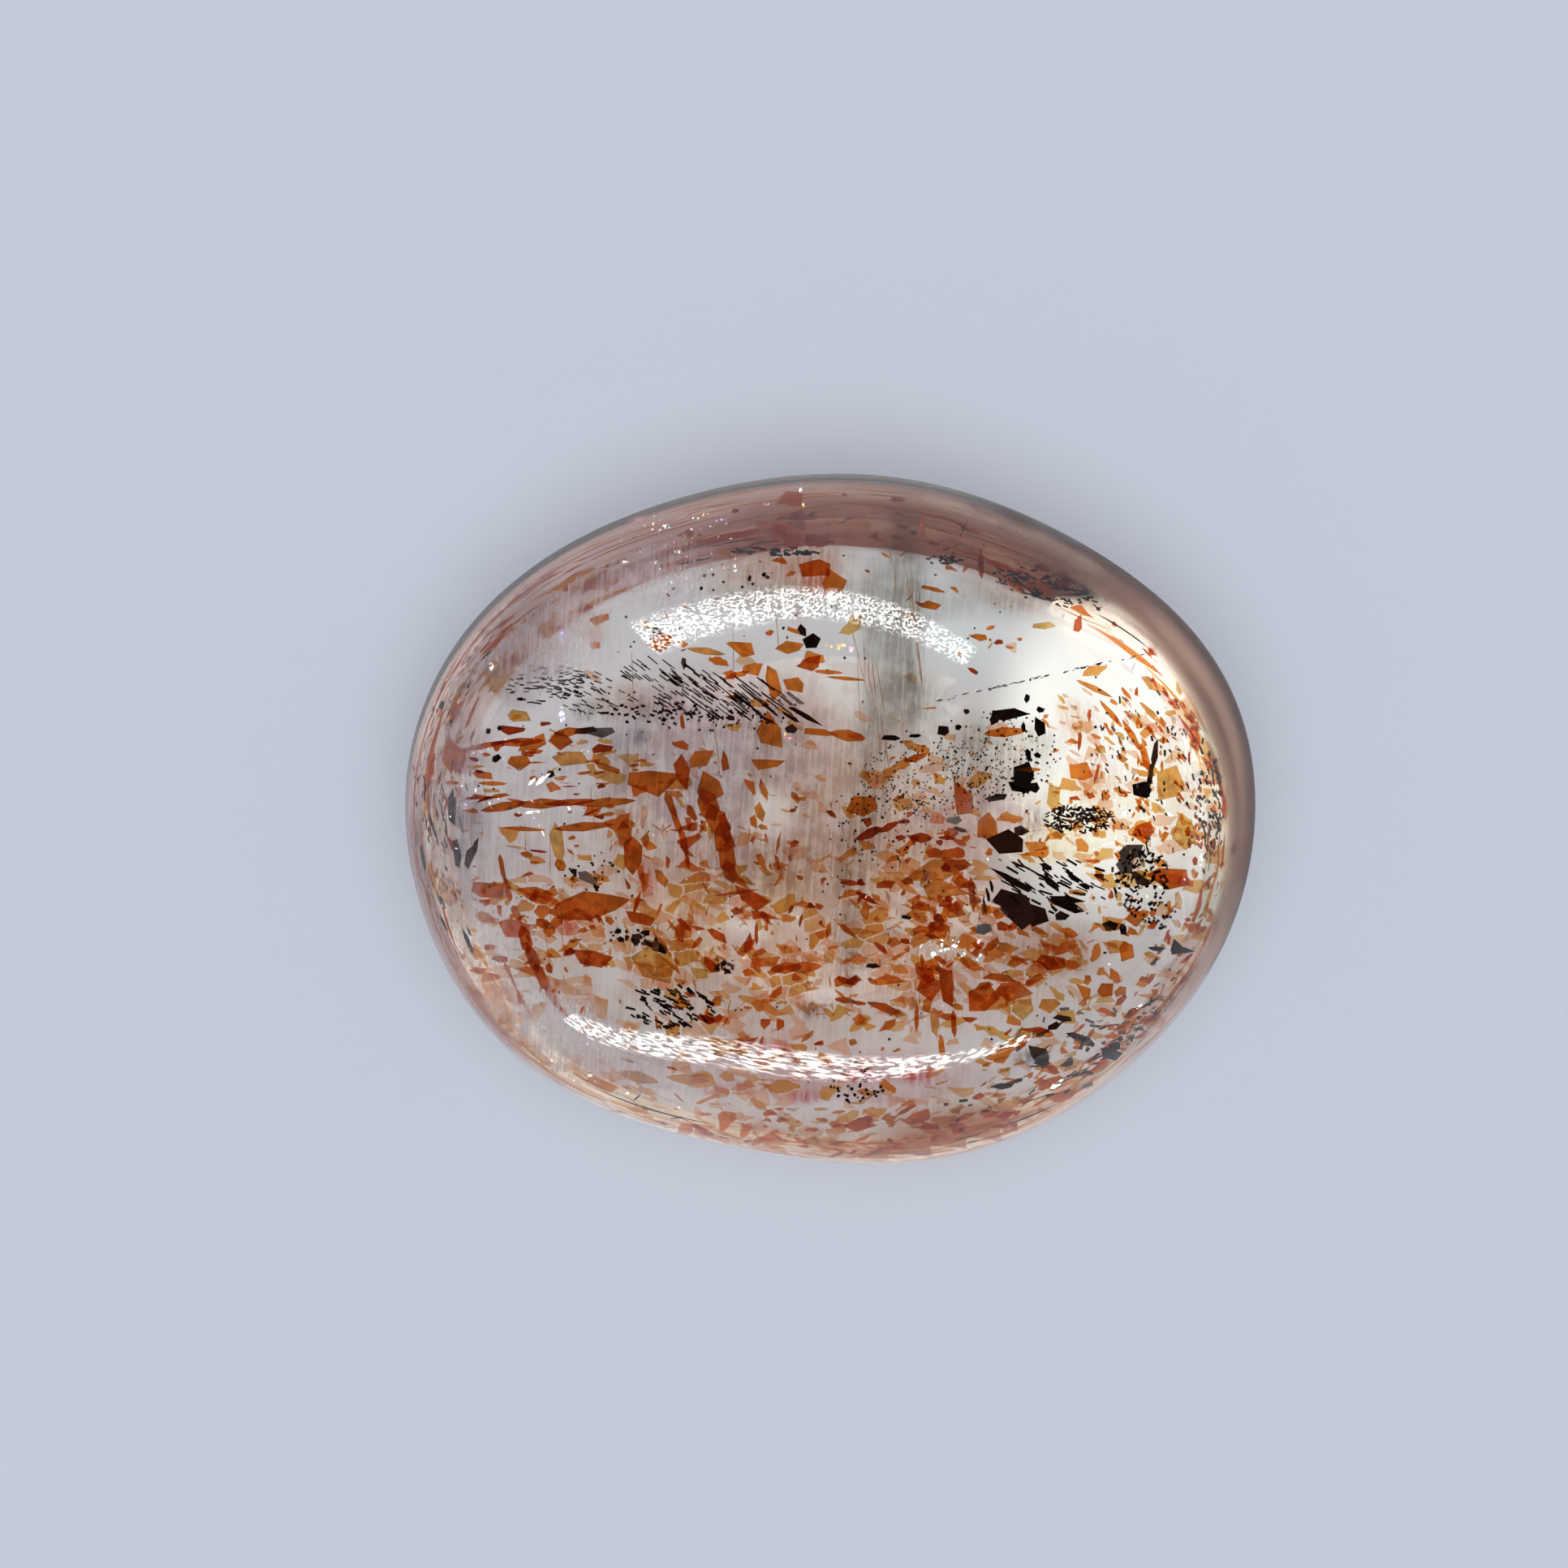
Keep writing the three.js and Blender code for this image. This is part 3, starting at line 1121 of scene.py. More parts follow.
def veil(name, cover):
    """A soft stain whose cover fades out to its rim and is broken into streaks."""
    material, tree, output = new_material(name)
    colour = shade_colour(tree, VEIL_COLOURS)
    fade = add_node(tree, "ShaderNodeMapRange", {"interpolation_type": "SMOOTHSTEP"}, {
        "Value": off_middle(tree),
        "From Min": 0.1,
        "From Max": 0.95,
        "To Min": 1.0,
        "To Max": 0.0,
    })
    place = add_node(tree, "ShaderNodeTexCoord")
    stretch = add_node(tree, "ShaderNodeMapping", {}, {
        "Vector": place.outputs["Object"],
        "Scale": STREAK_STRETCH,
    })
    streaks = add_node(tree, "ShaderNodeTexNoise", {}, {
        "Vector": stretch.outputs["Vector"],
        "Scale": 1 / (STREAK_WIDTH * MM),
        "Detail": 2.0,
        "Roughness": 0.7,
    })
    broken = add_node(tree, "ShaderNodeMapRange", {}, {
        "Value": streaks.outputs["Fac"],
        "From Min": 0.36,
        "From Max": 0.66,
        "To Min": 0.15,
        "To Max": 1.0,
    })
    amount = add_node(tree, "ShaderNodeMath", {"operation": "MULTIPLY"}, {
        0: fade.outputs["Result"],
        1: broken.outputs["Result"],
    })
    cover_share = add_node(tree, "ShaderNodeMath", {"operation": "MULTIPLY", "use_clamp": True}, {
        0: amount.outputs[0],
        1: cover,
    })
    stain = add_node(tree, "ShaderNodeBsdfPrincipled", {}, {
        "Base Color": colour,
        "Roughness": 0.6,
        "Specular IOR Level": 0.1,
    })
    tinted = add_node(tree, "ShaderNodeMix", {"data_type": "RGBA"}, {
        0: cover_share.outputs[0],
        6: linear("ffffff"),
        7: colour,
    })
    clear = add_node(tree, "ShaderNodeBsdfTransparent", {}, {"Color": tinted.outputs[2]})
    thin_cover = add_node(tree, "ShaderNodeMath", {"operation": "MULTIPLY"}, {
        0: cover_share.outputs[0],
        1: SCATTERED_SHARE,
    })
    mixed = add_node(tree, "ShaderNodeMixShader", {}, {
        "Fac": thin_cover.outputs[0],
        1: clear.outputs["BSDF"],
        2: stain.outputs["BSDF"],
    })
    tree.links.new(mixed.outputs[0], output.inputs["Surface"])
    return material


soft_veil = veil("fine_needle_veil", cover=0.85)
print("veil streaks, mm wide:", STREAK_WIDTH)

# %% Glint material
SILVER, GOLD, ROSE, VIOLET, CYAN = 0.0, 0.25, 0.5, 0.75, 1.0
GLINT_COLOURS = (
    (SILVER, "ffffff"),
    (GOLD, "ffd98a"),
    (ROSE, "ff9fb4"),
    (VIOLET, "b9b4ff"),
    (CYAN, "b4f2ff"),
)
CRACK_STEP = 0.05               # mm from one facet of an open crack to the next
CRACK_RELIEF = 0.01             # mm


def glint():
    """A level crack face that flashes the softbox back, tinted by its thin film."""
    material, tree, output = new_material("open_crack_glint")
    place = add_node(tree, "ShaderNodeTexCoord")
    uneven = add_node(tree, "ShaderNodeTexNoise", {}, {
        "Vector": place.outputs["Object"],
        "Scale": 1 / (CRACK_STEP * MM),
        "Detail": 2.0,
    })
    bump = add_node(tree, "ShaderNodeBump", {}, {
        "Strength": 0.25,
        "Distance": CRACK_RELIEF * MM,
        "Height": uneven.outputs["Fac"],
    })
    flash = add_node(tree, "ShaderNodeBsdfPrincipled", {}, {
        "Base Color": shade_colour(tree, GLINT_COLOURS),
        "Metallic": 1.0,
        "Roughness": 0.2,
        "Normal": bump.outputs["Normal"],
    })
    lit = add_node(tree, "ShaderNodeMapRange", {}, {
        "Value": uneven.outputs["Fac"],
        "From Min": 0.46,
        "From Max": 0.62,
        "To Max": 0.9,
    })
    clear = add_node(tree, "ShaderNodeBsdfTransparent")
    broken = add_node(tree, "ShaderNodeMixShader", {}, {
        "Fac": lit.outputs["Result"],
        1: clear.outputs["BSDF"],
        2: flash.outputs["BSDF"],
    })
    tree.links.new(broken.outputs[0], output.inputs["Surface"])
    return material


crack_glint = glint()
print("glint facets, mm:", CRACK_STEP)

# %% [markdown]
# ## The flakes that give this stone its face
# The larger flakes are set one by one, because they are what one knows the stone by. Each
# row gives a photo pixel, a length and a width in pixels, a turn in degrees and a shade.
# How deep a flake lies can't be read from one photo, so the script picks a depth for it,
# and a small lean, because plates of one stone lie nearly the same way but not quite.

# %% Large orange plates
# column, row, length, width, turn, shade
PLATES = (
    (912, 798, 34, 20, -5, ORANGE), (976, 798, 30, 18, 0, ORANGE), (1003, 818, 28, 22, 10, RED),
    (928, 822, 40, 18, -5, ORANGE), (952, 838, 24, 38, 5, ORANGE), (979, 843, 40, 15, -15, ORANGE),
    (907, 832, 30, 9, 15, ORANGE), (947, 904, 44, 42, 80, ORANGE), (944, 943, 40, 30, 5, ORANGE),
    (797, 960, 54, 40, 0, 0.4), (838, 951, 18, 44, 5, RED), (859, 936, 32, 26, 30, ORANGE),
    (873, 973, 26, 38, -20, 0.4), (657, 915, 38, 20, 5, 0.45), (690, 911, 28, 20, 0, RED),
    (637, 936, 30, 18, 0, 0.4), (632, 898, 42, 10, -3, DEEP_RED), (592, 953, 26, 10, -10, 0.4),
    (638, 879, 32, 14, 0, 0.7), (735, 763, 26, 15, 10, ORANGE), (731, 795, 13, 9, 0, ORANGE),
    (738, 921, 30, 10, -5, DEEP_RED), (703, 932, 44, 18, 5, 0.65), (747, 944, 30, 10, -15, ORANGE),
    (902, 896, 19, 15, 0, OCHRE), (1028, 719, 40, 34, 5, 0.5), (1010, 700, 46, 24, 0, 0.3),
    (1143, 746, 30, 15, 5, 0.4), (1148, 726, 30, 6, -15, 0.4), (1206, 786, 22, 9, -20, 0.45),
    (1330, 777, 14, 28, -8, RED), (1283, 774, 28, 9, 0, OCHRE), (1187, 985, 42, 28, -30, 0.32),
    (1217, 1015, 36, 36, -40, ORANGE), (1113, 989, 26, 20, 0, OCHRE), (1067, 993, 38, 24, 10, 0.42),
    (1298, 985, 17, 32, 5, OCHRE), (1333, 953, 26, 27, 30, ORANGE), (1357, 923, 13, 11, 0, OCHRE),
    (1161, 1073, 78, 28, 15, 0.6), (1160, 1098, 60, 30, -10, 0.58), (1172, 1122, 36, 22, 30, ORANGE),
    (1152, 1146, 32, 22, 10, ORANGE), (1091, 1089, 28, 11, 0, RED), (1239, 1167, 26, 16, -10, 0.55),
    (1143, 1202, 38, 18, -25, RED), (1145, 1217, 44, 26, -20, 0.42), (1169, 1218, 22, 42, 5, RED),
    (1208, 1233, 40, 34, 10, 0.4), (1243, 1221, 40, 24, -10, 0.45), (1235, 1206, 42, 15, -5, 0.35),
    (1261, 1243, 28, 24, 0, OCHRE), (1291, 1240, 26, 20, 10, 0.6), (1254, 1184, 32, 11, 15, ORANGE),
    (1294, 1186, 42, 24, -5, 0.3), (1335, 1225, 36, 30, -10, ORANGE), (1361, 1220, 26, 24, 0, 0.35),
    (1387, 1172, 22, 26, 0, ORANGE), (1416, 1229, 38, 10, -5, 0.75), (1095, 1207, 36, 14, 5, ORANGE),
    (790, 1131, 38, 16, -15, 0.35), (838, 1149, 15, 28, 0, 0.45), (728, 1181, 40, 22, -5, RED),
    (702, 1173, 15, 12, 0, DEEP_RED), (678, 1195, 12, 11, 0, RED), (669, 1137, 22, 13, 0, RED),
    (604, 1168, 18, 9, 10, RED), (616, 1184, 22, 11, -20, RED), (594, 1129, 32, 12, -20, 0.6),
    (600, 1097, 52, 24, -15, 0.35), (804, 1190, 64, 38, -25, 0.72), (859, 1200, 26, 16, 0, OCHRE),
    (697, 1218, 36, 14, -15, 0.82), (943, 1261, 19, 17, 0, RED), (960, 1261, 14, 13, 0, RED),
    (912, 1279, 15, 9, 0, 0.4), (1063, 1384, 36, 20, 15, RED), (1011, 1405, 36, 14, 8, OCHRE),
    (924, 1107, 42, 24, -25, 0.3), (939, 1128, 42, 16, -12, 0.35), (907, 1122, 20, 14, 20, RED),
    (910, 1085, 26, 16, -40, 0.38), (850, 1223, 20, 11, -30, 0.3), (869, 1253, 32, 11, -20, DEEP_RED),
    (1444, 962, 34, 40, 10, 0.68), (1457, 1024, 30, 34, -10, OCHRE), (1411, 1020, 26, 30, 0, 0.4),
    (1442, 1078, 52, 28, -10, 0.3), (1425, 845, 44, 12, -30, 0.62), (1344, 880, 7, 16, 0, RED),
    (1435, 911, 12, 8, 0, ORANGE), (1472, 905, 10, 30, 15, ORANGE), (1280, 1273, 38, 9, 0, 0.3),
    (1400, 1128, 34, 20, 20, ORANGE), (1375, 1140, 20, 14, 0, 0.4), (1306, 1352, 36, 13, 22, 0.55),
    (685, 1136, 20, 14, 20, 0.45), (635, 1145, 30, 26, 0, 0.3), (1275, 1040, 30, 14, 5, 0.55),
    (1300, 1028, 26, 13, 10, 0.65), (1010, 903, 44, 9, -3, 0.45), (1150, 1050, 24, 12, 15, 0.5),
    (1260, 1150, 26, 14, -20, 0.55), (1318, 1165, 24, 12, 10, 0.6), (1100, 1160, 18, 12, 0, 0.6),
)

DEPTHS = (0.25, 0.8)            # share of the sight line at which flakes lie
LEAN = 24                       # degrees, the most that a set flake leans
BITTEN_OFF = 1.3                # its ragged corners take some of a flake's size away, so it starts larger


def with_depth(rows):
    """Gives each row of a table its depth and lean."""
    planted = []
    for column, row, length, width, turn, shade in rows:
        size = (length * BITTEN_OFF, width * BITTEN_OFF)
        planted.append((column, row, *size, turn, shade, random.uniform(*DEPTHS), random.uniform(0, LEAN)))
    return planted


grow("orange_plates", with_depth(PLATES), orange_hematite, {
    "Sides": 5,
    "Raggedness": 0.6,
    "Corner Spin": 1.0,
    "Seed": 2.0,
})

# %% Lenses, bars and streaks
# column, row, length, width, turn, shade
LENSES = (
    (724, 1117, 82, 30, 9, 0.36), (659, 1099, 38, 11, -8, 0.42), (1045, 906, 38, 12, -10, ORANGE),
    (745, 987, 64, 10, 3, 0.4), (621, 990, 46, 10, 8, 0.34), (666, 989, 54, 11, 2, 0.36),
    (702, 987, 56, 7, 4, RED), (718, 1018, 64, 10, 4, 0.36), (773, 1014, 15, 10, 0, 0.55),
    (645, 1020, 44, 5, -4, 0.42), (607, 963, 30, 5, -2, 0.45), (596, 918, 66, 6, 12, 0.3),
    (869, 804, 40, 8, -8, 0.6), (1239, 904, 46, 10, 4, 0.45), (1043, 836, 42, 4, -5, 0.45),
    (1021, 828, 30, 5, -4, 0.42), (991, 1191, 38, 12, 3, 0.52), (968, 1192, 34, 12, 4, 0.5),
    (1071, 1027, 30, 11, 24, DEEP_RED), (1095, 1019, 24, 8, 26, 0.08), (1135, 1032, 24, 11, 0, 0.12),
    (1167, 1032, 20, 5, -3, 0.05), (1110, 1032, 12, 6, 0, 0.1), (1128, 934, 26, 9, 16, 0.3),
    (1048, 1088, 22, 6, -3, 0.15), (1067, 1106, 26, 7, -30, 0.03), (1091, 1243, 36, 9, -20, 0.25),
    (1043, 1209, 22, 7, -22, 0.2), (1043, 1232, 22, 7, -10, 0.25), (1060, 1236, 16, 5, -10, 0.2),
    (1106, 1249, 22, 7, -8, OCHRE), (907, 1100, 44, 4, 8, 0.4), (783, 1324, 44, 12, -14, 0.7),
    (845, 1328, 44, 11, -6, 0.65), (921, 1369, 20, 5, 0, SALMON), (649, 1051, 14, 7, -10, 0.4),
    (662, 1058, 18, 8, -15, 0.65), (1268, 948, 26, 5, 0, 0.45), (700, 901, 30, 9, 6, 0.3),
    (640, 912, 50, 9, 3, 0.3), (560, 1040, 26, 6, -60, 0.25), (1350, 850, 40, 6, -25, 0.55),
    (1370, 880, 36, 6, -50, 0.5), (1395, 905, 36, 7, -60, 0.45), (1420, 880, 34, 6, -45, 0.6),
)
UPRIGHT_STREAKS = (
    (872, 990, 34, 26, -68, 0.42), (884, 1012, 36, 26, -72, 0.38), (891, 1034, 36, 24, -78, 0.38),
    (896, 1056, 34, 20, -82, 0.36), (900, 1074, 26, 16, -75, 0.33), (826, 990, 30, 9, -68, 0.4),
    (833, 1010, 36, 8, -72, 0.38), (841, 1035, 38, 8, -78, 0.4), (847, 1058, 24, 6, -82, 0.42),
    (687, 1040, 44, 15, -82, 0.72), (691, 1064, 16, 12, -60, 0.45), (769, 1028, 30, 18, -85, 0.45),
    (780, 1052, 44, 20, -88, 0.4), (619, 1066, 30, 7, -82, 0.3), (625, 1094, 34, 8, -78, 0.28),
    (636, 1126, 26, 9, -66, 0.34), (648, 1158, 30, 14, -78, 0.3), (657, 1184, 34, 15, -68, 0.26),
    (668, 1208, 34, 13, -64, 0.28), (680, 1230, 32, 9, -58, 0.26),
    (692, 1249, 22, 5, -50, 0.25), (630, 1205, 40, 4, -66, 0.4), (645, 1236, 36, 4, -60, 0.45),
    (1206, 697, 34, 7, -85, 0.12), (1198, 1102, 36, 8, -85, 0.2), (1152, 1262, 36, 11, -85, 0.65),
    (1130, 1254, 32, 6, -88, 0.3), (1331, 913, 22, 5, 85, 0.15), (1352, 952, 24, 4, 75, 0.25),
    (1409, 745, 32, 14, -65, 0.12), (1383, 730, 28, 9, -75, 0.1), (1411, 932, 32, 9, -75, 0.45),
    (1175, 1262, 34, 7, -86, 0.3), (1160, 1292, 26, 8, -84, 0.5), (840, 890, 18, 5, -85, 0.3),
)

grow("orange_lenses", with_depth(LENSES), orange_hematite, {
    "Sides": 8,
    "Raggedness": 0.15,
    "Pointed": 0.5,
    "Seed": 3.0,
})
grow("upright_streaks", with_depth(UPRIGHT_STREAKS), orange_hematite, {
    "Sides": 6,
    "Raggedness": 0.3,
    "Pointed": 0.1,
    "Seed": 4.0,
})

# %% Thick dark plates
# column, row, length, width, turn, shade
DARK_PLATES = (
    (1098, 909, 21, 8, -5, 0.1), (1128, 907, 18, 6, 0, 0.1), (1164, 901, 15, 13, 0, 0.1),
    (1181, 897, 9, 7, 20, 0.1), (1191, 877, 8, 7, 0, 0.3), (1239, 883, 42, 14, 8, 0.2),
    (1226, 887, 14, 12, 60, 0.1), (1268, 863, 7, 10, 0, 0.1), (1283, 898, 14, 20, 10, 0.1),
    (1284, 877, 11, 7, 0, 0.2), (1263, 898, 5, 12, 0, 0.2), (1268, 930, 7, 14, 10, 0.1),
    (1280, 931, 9, 7, 0, 0.2), (1262, 956, 32, 28, 60, 0.05), (1257, 968, 32, 14, -5, 0.05),
    (1274, 970, 16, 12, -20, 0.05), (1230, 982, 30, 8, 15, 0.1), (1407, 971, 24, 20, 0, 0.1),
    (1424, 926, 9, 34, -10, 0.6), (1419, 950, 7, 30, -8, 0.5), (1176, 1010, 22, 9, 0, 0.95),
    (1184, 1022, 20, 6, -15, 0.6), (1248, 1085, 54, 10, -32, 0.2), (1289, 1067, 15, 8, -30, 0.2),
    (1294, 1087, 26, 9, -40, 0.2), (1254, 1065, 22, 4, -25, 0.2), (1324, 1080, 30, 4, -30, 0.2),
    (1354, 1078, 11, 5, 0, 0.3), (1337, 1091, 13, 6, -20, 0.2), (1313, 1091, 16, 4, -30, 0.2),
    (1252, 1120, 56, 40, -38, 0.42), (1240, 1108, 26, 26, -50, 0.38), (1276, 1130, 30, 26, -35, 0.4),
    (1309, 1108, 42, 8, -8, 0.15), (1315, 1117, 42, 11, -20, 0.2), (1307, 1129, 20, 13, 10, 0.35),
    (1213, 1117, 4, 20, 10, 0.2), (1217, 1102, 4, 22, 15, 0.2), (1222, 1092, 4, 16, 10, 0.2),
    (762, 1149, 9, 6, 0, 0.2), (765, 1158, 10, 7, -30, 0.1), (795, 1150, 12, 6, 0, 0.3),
    (783, 1159, 13, 15, 0, 0.5), (811, 1168, 24, 10, -30, 0.3), (799, 1163, 13, 7, -30, 0.3),
    (724, 1080, 26, 12, -30, 0.9), (707, 1072, 9, 7, 0, 0.2), (717, 1077, 8, 9, 0, 0.2),
    (735, 1094, 11, 5, -60, 0.2), (891, 1187, 9, 7, 0, 0.3), (896, 1196, 9, 6, -30, 0.3),
    (884, 1193, 6, 6, 0, 0.3), (976, 899, 14, 9, 0, 0.45), (990, 881, 44, 8, -30, 0.4),
    (975, 884, 22, 5, -30, 0.3), (945, 887, 22, 4, -25, 0.3), (721, 899, 28, 9, 5, 0.45),
    (742, 900, 32, 14, 0, 0.85), (678, 952, 10, 9, 0, 0.4), (611, 933, 14, 9, 20, 0.4),
    (601, 898, 9, 8, 0, 0.2), (614, 893, 7, 7, 0, 0.3), (840, 819, 7, 15, 5, 0.6),
    (807, 779, 15, 12, 20, 0.5), (900, 885, 12, 7, 0, 0.35), (1117, 1130, 12, 6, -15, 0.1),
    (1368, 1141, 15, 13, 0, 0.2), (1383, 1144, 9, 18, 10, 0.1), (1424, 1169, 18, 6, 0, 0.2),
    (1457, 1171, 32, 10, -8, 0.55), (1449, 1168, 14, 16, 20, 0.4), (1392, 1048, 30, 22, 30, 0.75),
    (1386, 1066, 26, 20, -40, 0.8), (1405, 1083, 24, 12, -50, 0.5), (1276, 1302, 26, 16, -15, 0.6),
    (1284, 1310, 18, 10, 0, 0.4), (1309, 1256, 24, 9, -10, 0.5), (1298, 1266, 18, 8, 25, 0.4),
    (1328, 1280, 34, 9, -18, 0.5), (1340, 1288, 20, 8, -30, 0.6), (1365, 1298, 26, 16, -25, 0.6),
    (1372, 1290, 14, 10, 0, 0.4), (1235, 1339, 28, 8, 8, 0.25), (1313, 1317, 18, 8, 20, 0.7),
    (1253, 1334, 16, 6, 20, 0.3), (1002, 790, 20, 16, 0, 0.2), (990, 778, 16, 10, -60, 0.3),
    (1243, 1037, 40, 32, 10, 0.42), (1258, 1022, 18, 16, 0, 0.5), (564, 1052, 8, 40, 5, 0.8),
    (578, 1056, 10, 30, -10, 0.75), (585, 1045, 6, 26, -15, 0.8),
    (1212, 1145, 22, 12, 0, 0.9), (1075, 1190, 16, 6, 0, 0.4),
)

grow("dark_plates", with_depth(DARK_PLATES), dark_hematite, {
    "Sides": 5,
    "Raggedness": 0.4,
    "Corner Spin": 1.0,
    "Seed": 5.0,
})

# %% [markdown]
# ## Fields of small flakes
# Between the large flakes lie thousands of small ones, in patches that each follow one
# crystal plane. One function fills an oval patch of the photo with flakes of one habit.
# A fixed seed makes the same stone each time.

# %% Fill a patch
FIELD_DEPTH = (0.42, 0.5)       # a field of dashes lies on one plane
FIELD_LEAN = 40                 # degrees, the most that a flake of a field leans
SHADE_SPREAD = 0.08             # how far a flake's shade strays from the one picked for it
RIM_SPREAD = 14                 # degrees by which flakes at the rim stray from its direction
CRACK_STRAY = 0.8               # pixels by which specks stray from a crack seen edge-on
CRACK_LEAN = 8.0                # degrees


def pick_shade(shades):
    """One of these shades, or nearly."""
    shade = random.choice(shades) + random.uniform(-SHADE_SPREAD, SHADE_SPREAD)
    return min(1.0, max(0.0, shade))


def patch(middle, reach, count, long, wide, turn, spread, shades,
          depths=(0.12, 0.9), lean=FIELD_LEAN, tilt=0.0):
    """Flakes in an oval patch. reach is its half width and half height in pixels."""
    rows = []
    for _ in range(count):
        angle = random.uniform(0, 2 * math.pi)
        away = math.sqrt(random.uniform(0, 1))
        x = reach[0] * away * math.cos(angle)
        y = reach[1] * away * math.sin(angle)
        spot = (middle[0] + x, middle[1] + y + tilt * x)
        size = (random.uniform(*long), random.uniform(*wide))
        spin = random.gauss(turn, spread)
        shade = pick_shade(shades)
        rows.append((*spot, *size, spin, shade, random.uniform(*depths), random.uniform(0, lean)))
    return rows


def rim_patch(inner, outer, start, end, count, long, wide, shades, depths=(0.1, 0.9)):
    """Flakes along the rim, between two shares of the outline and two directions."""
    rows = []
    for _ in range(count):
        angle = math.radians(random.uniform(start, end))
        share = random.uniform(inner, outer)
        column = STONE_MIDDLE[0] + share * STONE_LENGTH / 2 * PIXELS_PER_MM * math.cos(angle)
        row = STONE_MIDDLE[1] - share * STONE_WIDTH / 2 * PIXELS_PER_MM * math.sin(angle)
        along = math.atan2(STONE_WIDTH * math.cos(angle), -STONE_LENGTH * math.sin(angle))
        spin = math.degrees(along) + random.gauss(0, RIM_SPREAD)
        shade = pick_shade(shades)
        size = (random.uniform(*long), random.uniform(*wide))
        depth = random.uniform(*depths)
        rows.append((column, row, *size, spin, shade, depth, random.uniform(0, FIELD_LEAN)))
    return rows


def dotted_line(start, end, count):
    """Specks along a healed crack that is seen edge-on, with gaps between them."""
    rows = []
    angle = math.degrees(math.atan2(start[1] - end[1], end[0] - start[0]))
    for _ in range(count):
        share = random.uniform(0, 1)
        column = start[0] + share * (end[0] - start[0])
        row = start[1] + share * (end[1] - start[1]) + random.gauss(0, CRACK_STRAY)
        size = (random.uniform(3, 7), random.uniform(0.8, 1.4))
        rows.append((column, row, *size, angle, random.uniform(0.4, 0.7), FIELD_DEPTH[0], CRACK_LEAN))
    return rows


print("fields of dashes, share of the way down:", FIELD_DEPTH)

# %% Small orange flakes
WARM = (DEEP_RED, RED, RED, ORANGE, ORANGE, OCHRE)
BRIGHT = (RED, ORANGE, ORANGE, ORANGE, OCHRE, SALMON)
PALE = (OCHRE, SALMON, SALMON, ORANGE)
RUDDY = (DEEP_RED, DEEP_RED, RED, SALMON)

random.seed(11)
small_plates = (
    patch((680, 960), (120, 90), 44, (12, 34), (4, 9), 0, 9, WARM)
    + patch((665, 1150), (95, 90), 44, (8, 26), (5, 14), -10, 30, BRIGHT)
    + patch((860, 1070), (110, 140), 50, (12, 40), (5, 16), -75, 25, BRIGHT)
    + patch((1000, 1200), (220, 90), 60, (14, 40), (6, 18), -5, 50, BRIGHT)
    + patch((1270, 1190), (175, 115), 52, (14, 34), (8, 20), 0, 40, BRIGHT)
    + patch((1410, 1010), (95, 150), 76, (6, 24), (4, 12), -60, 30, BRIGHT)
    + patch((1080, 1060), (130, 130), 40, (8, 26), (4, 14), 10, 40, WARM)
    + patch((1150, 1080), (70, 60), 22, (10, 36), (8, 22), 20, 40, BRIGHT)
    + patch((1000, 750), (300, 110), 26, (5, 18), (3, 8), 0, 30, WARM)
    + patch((1180, 1120), (90, 90), 24, (10, 28), (8, 18), 10, 40, BRIGHT)
    + patch((1350, 890), (60, 50), 30, (8, 30), (3, 8), -40, 20, PALE)
    + patch((1420, 960), (70, 120), 90, (5, 16), (2, 7), -65, 25, BRIGHT + PALE)
    + rim_patch(0.84, 0.97, -108, -15, 100, (10, 32), (4, 11), BRIGHT)
    + rim_patch(0.86, 0.97, -20, 40, 60, (8, 22), (4, 9), WARM)
    + rim_patch(0.80, 0.95, 60, 115, 26, (8, 24), (3, 8), RUDDY, (0.2, 0.7))
)
grow("small_plates", small_plates, orange_hematite, {
    "Sides": 5,
    "Raggedness": 0.6,
    "Corner Spin": 1.0,
    "Seed": 6.0,
})

pale_slivers = (
    patch((920, 1160), (330, 150), 160, (5, 22), (2, 6), -80, 25, PALE)
    + patch((1120, 1180), (300, 130), 90, (5, 20), (2, 6), -20, 50, PALE)
    + patch((760, 1050), (220, 160), 80, (5, 22), (2, 5), -5, 30, PALE)
    + patch((1230, 990), (160, 80), 80, (4, 14), (2, 5), 0, 50, PALE)
    + rim_patch(0.80, 0.98, -125, -30, 110, (8, 30), (2, 6), PALE)
    + patch((1095, 790), (42, 140), 20, (40, 110), (1.4, 2.4), -84, 3, (OCHRE, SALMON, SALMON))
    + patch((820, 960), (300, 240), 22, (40, 110), (1.4, 2.2), -86, 3, (SALMON,))
)
grow("pale_slivers", pale_slivers, orange_hematite, {
    "Sides": 5,
    "Raggedness": 0.5,
    "Seed": 7.0,
})

# %% Dark dashes and dots
BLACK = (0.0, 0.1, 0.2, 0.3)
BROWN = (0.2, 0.4, 0.55)
GREY = (0.6, 0.8, 0.95)

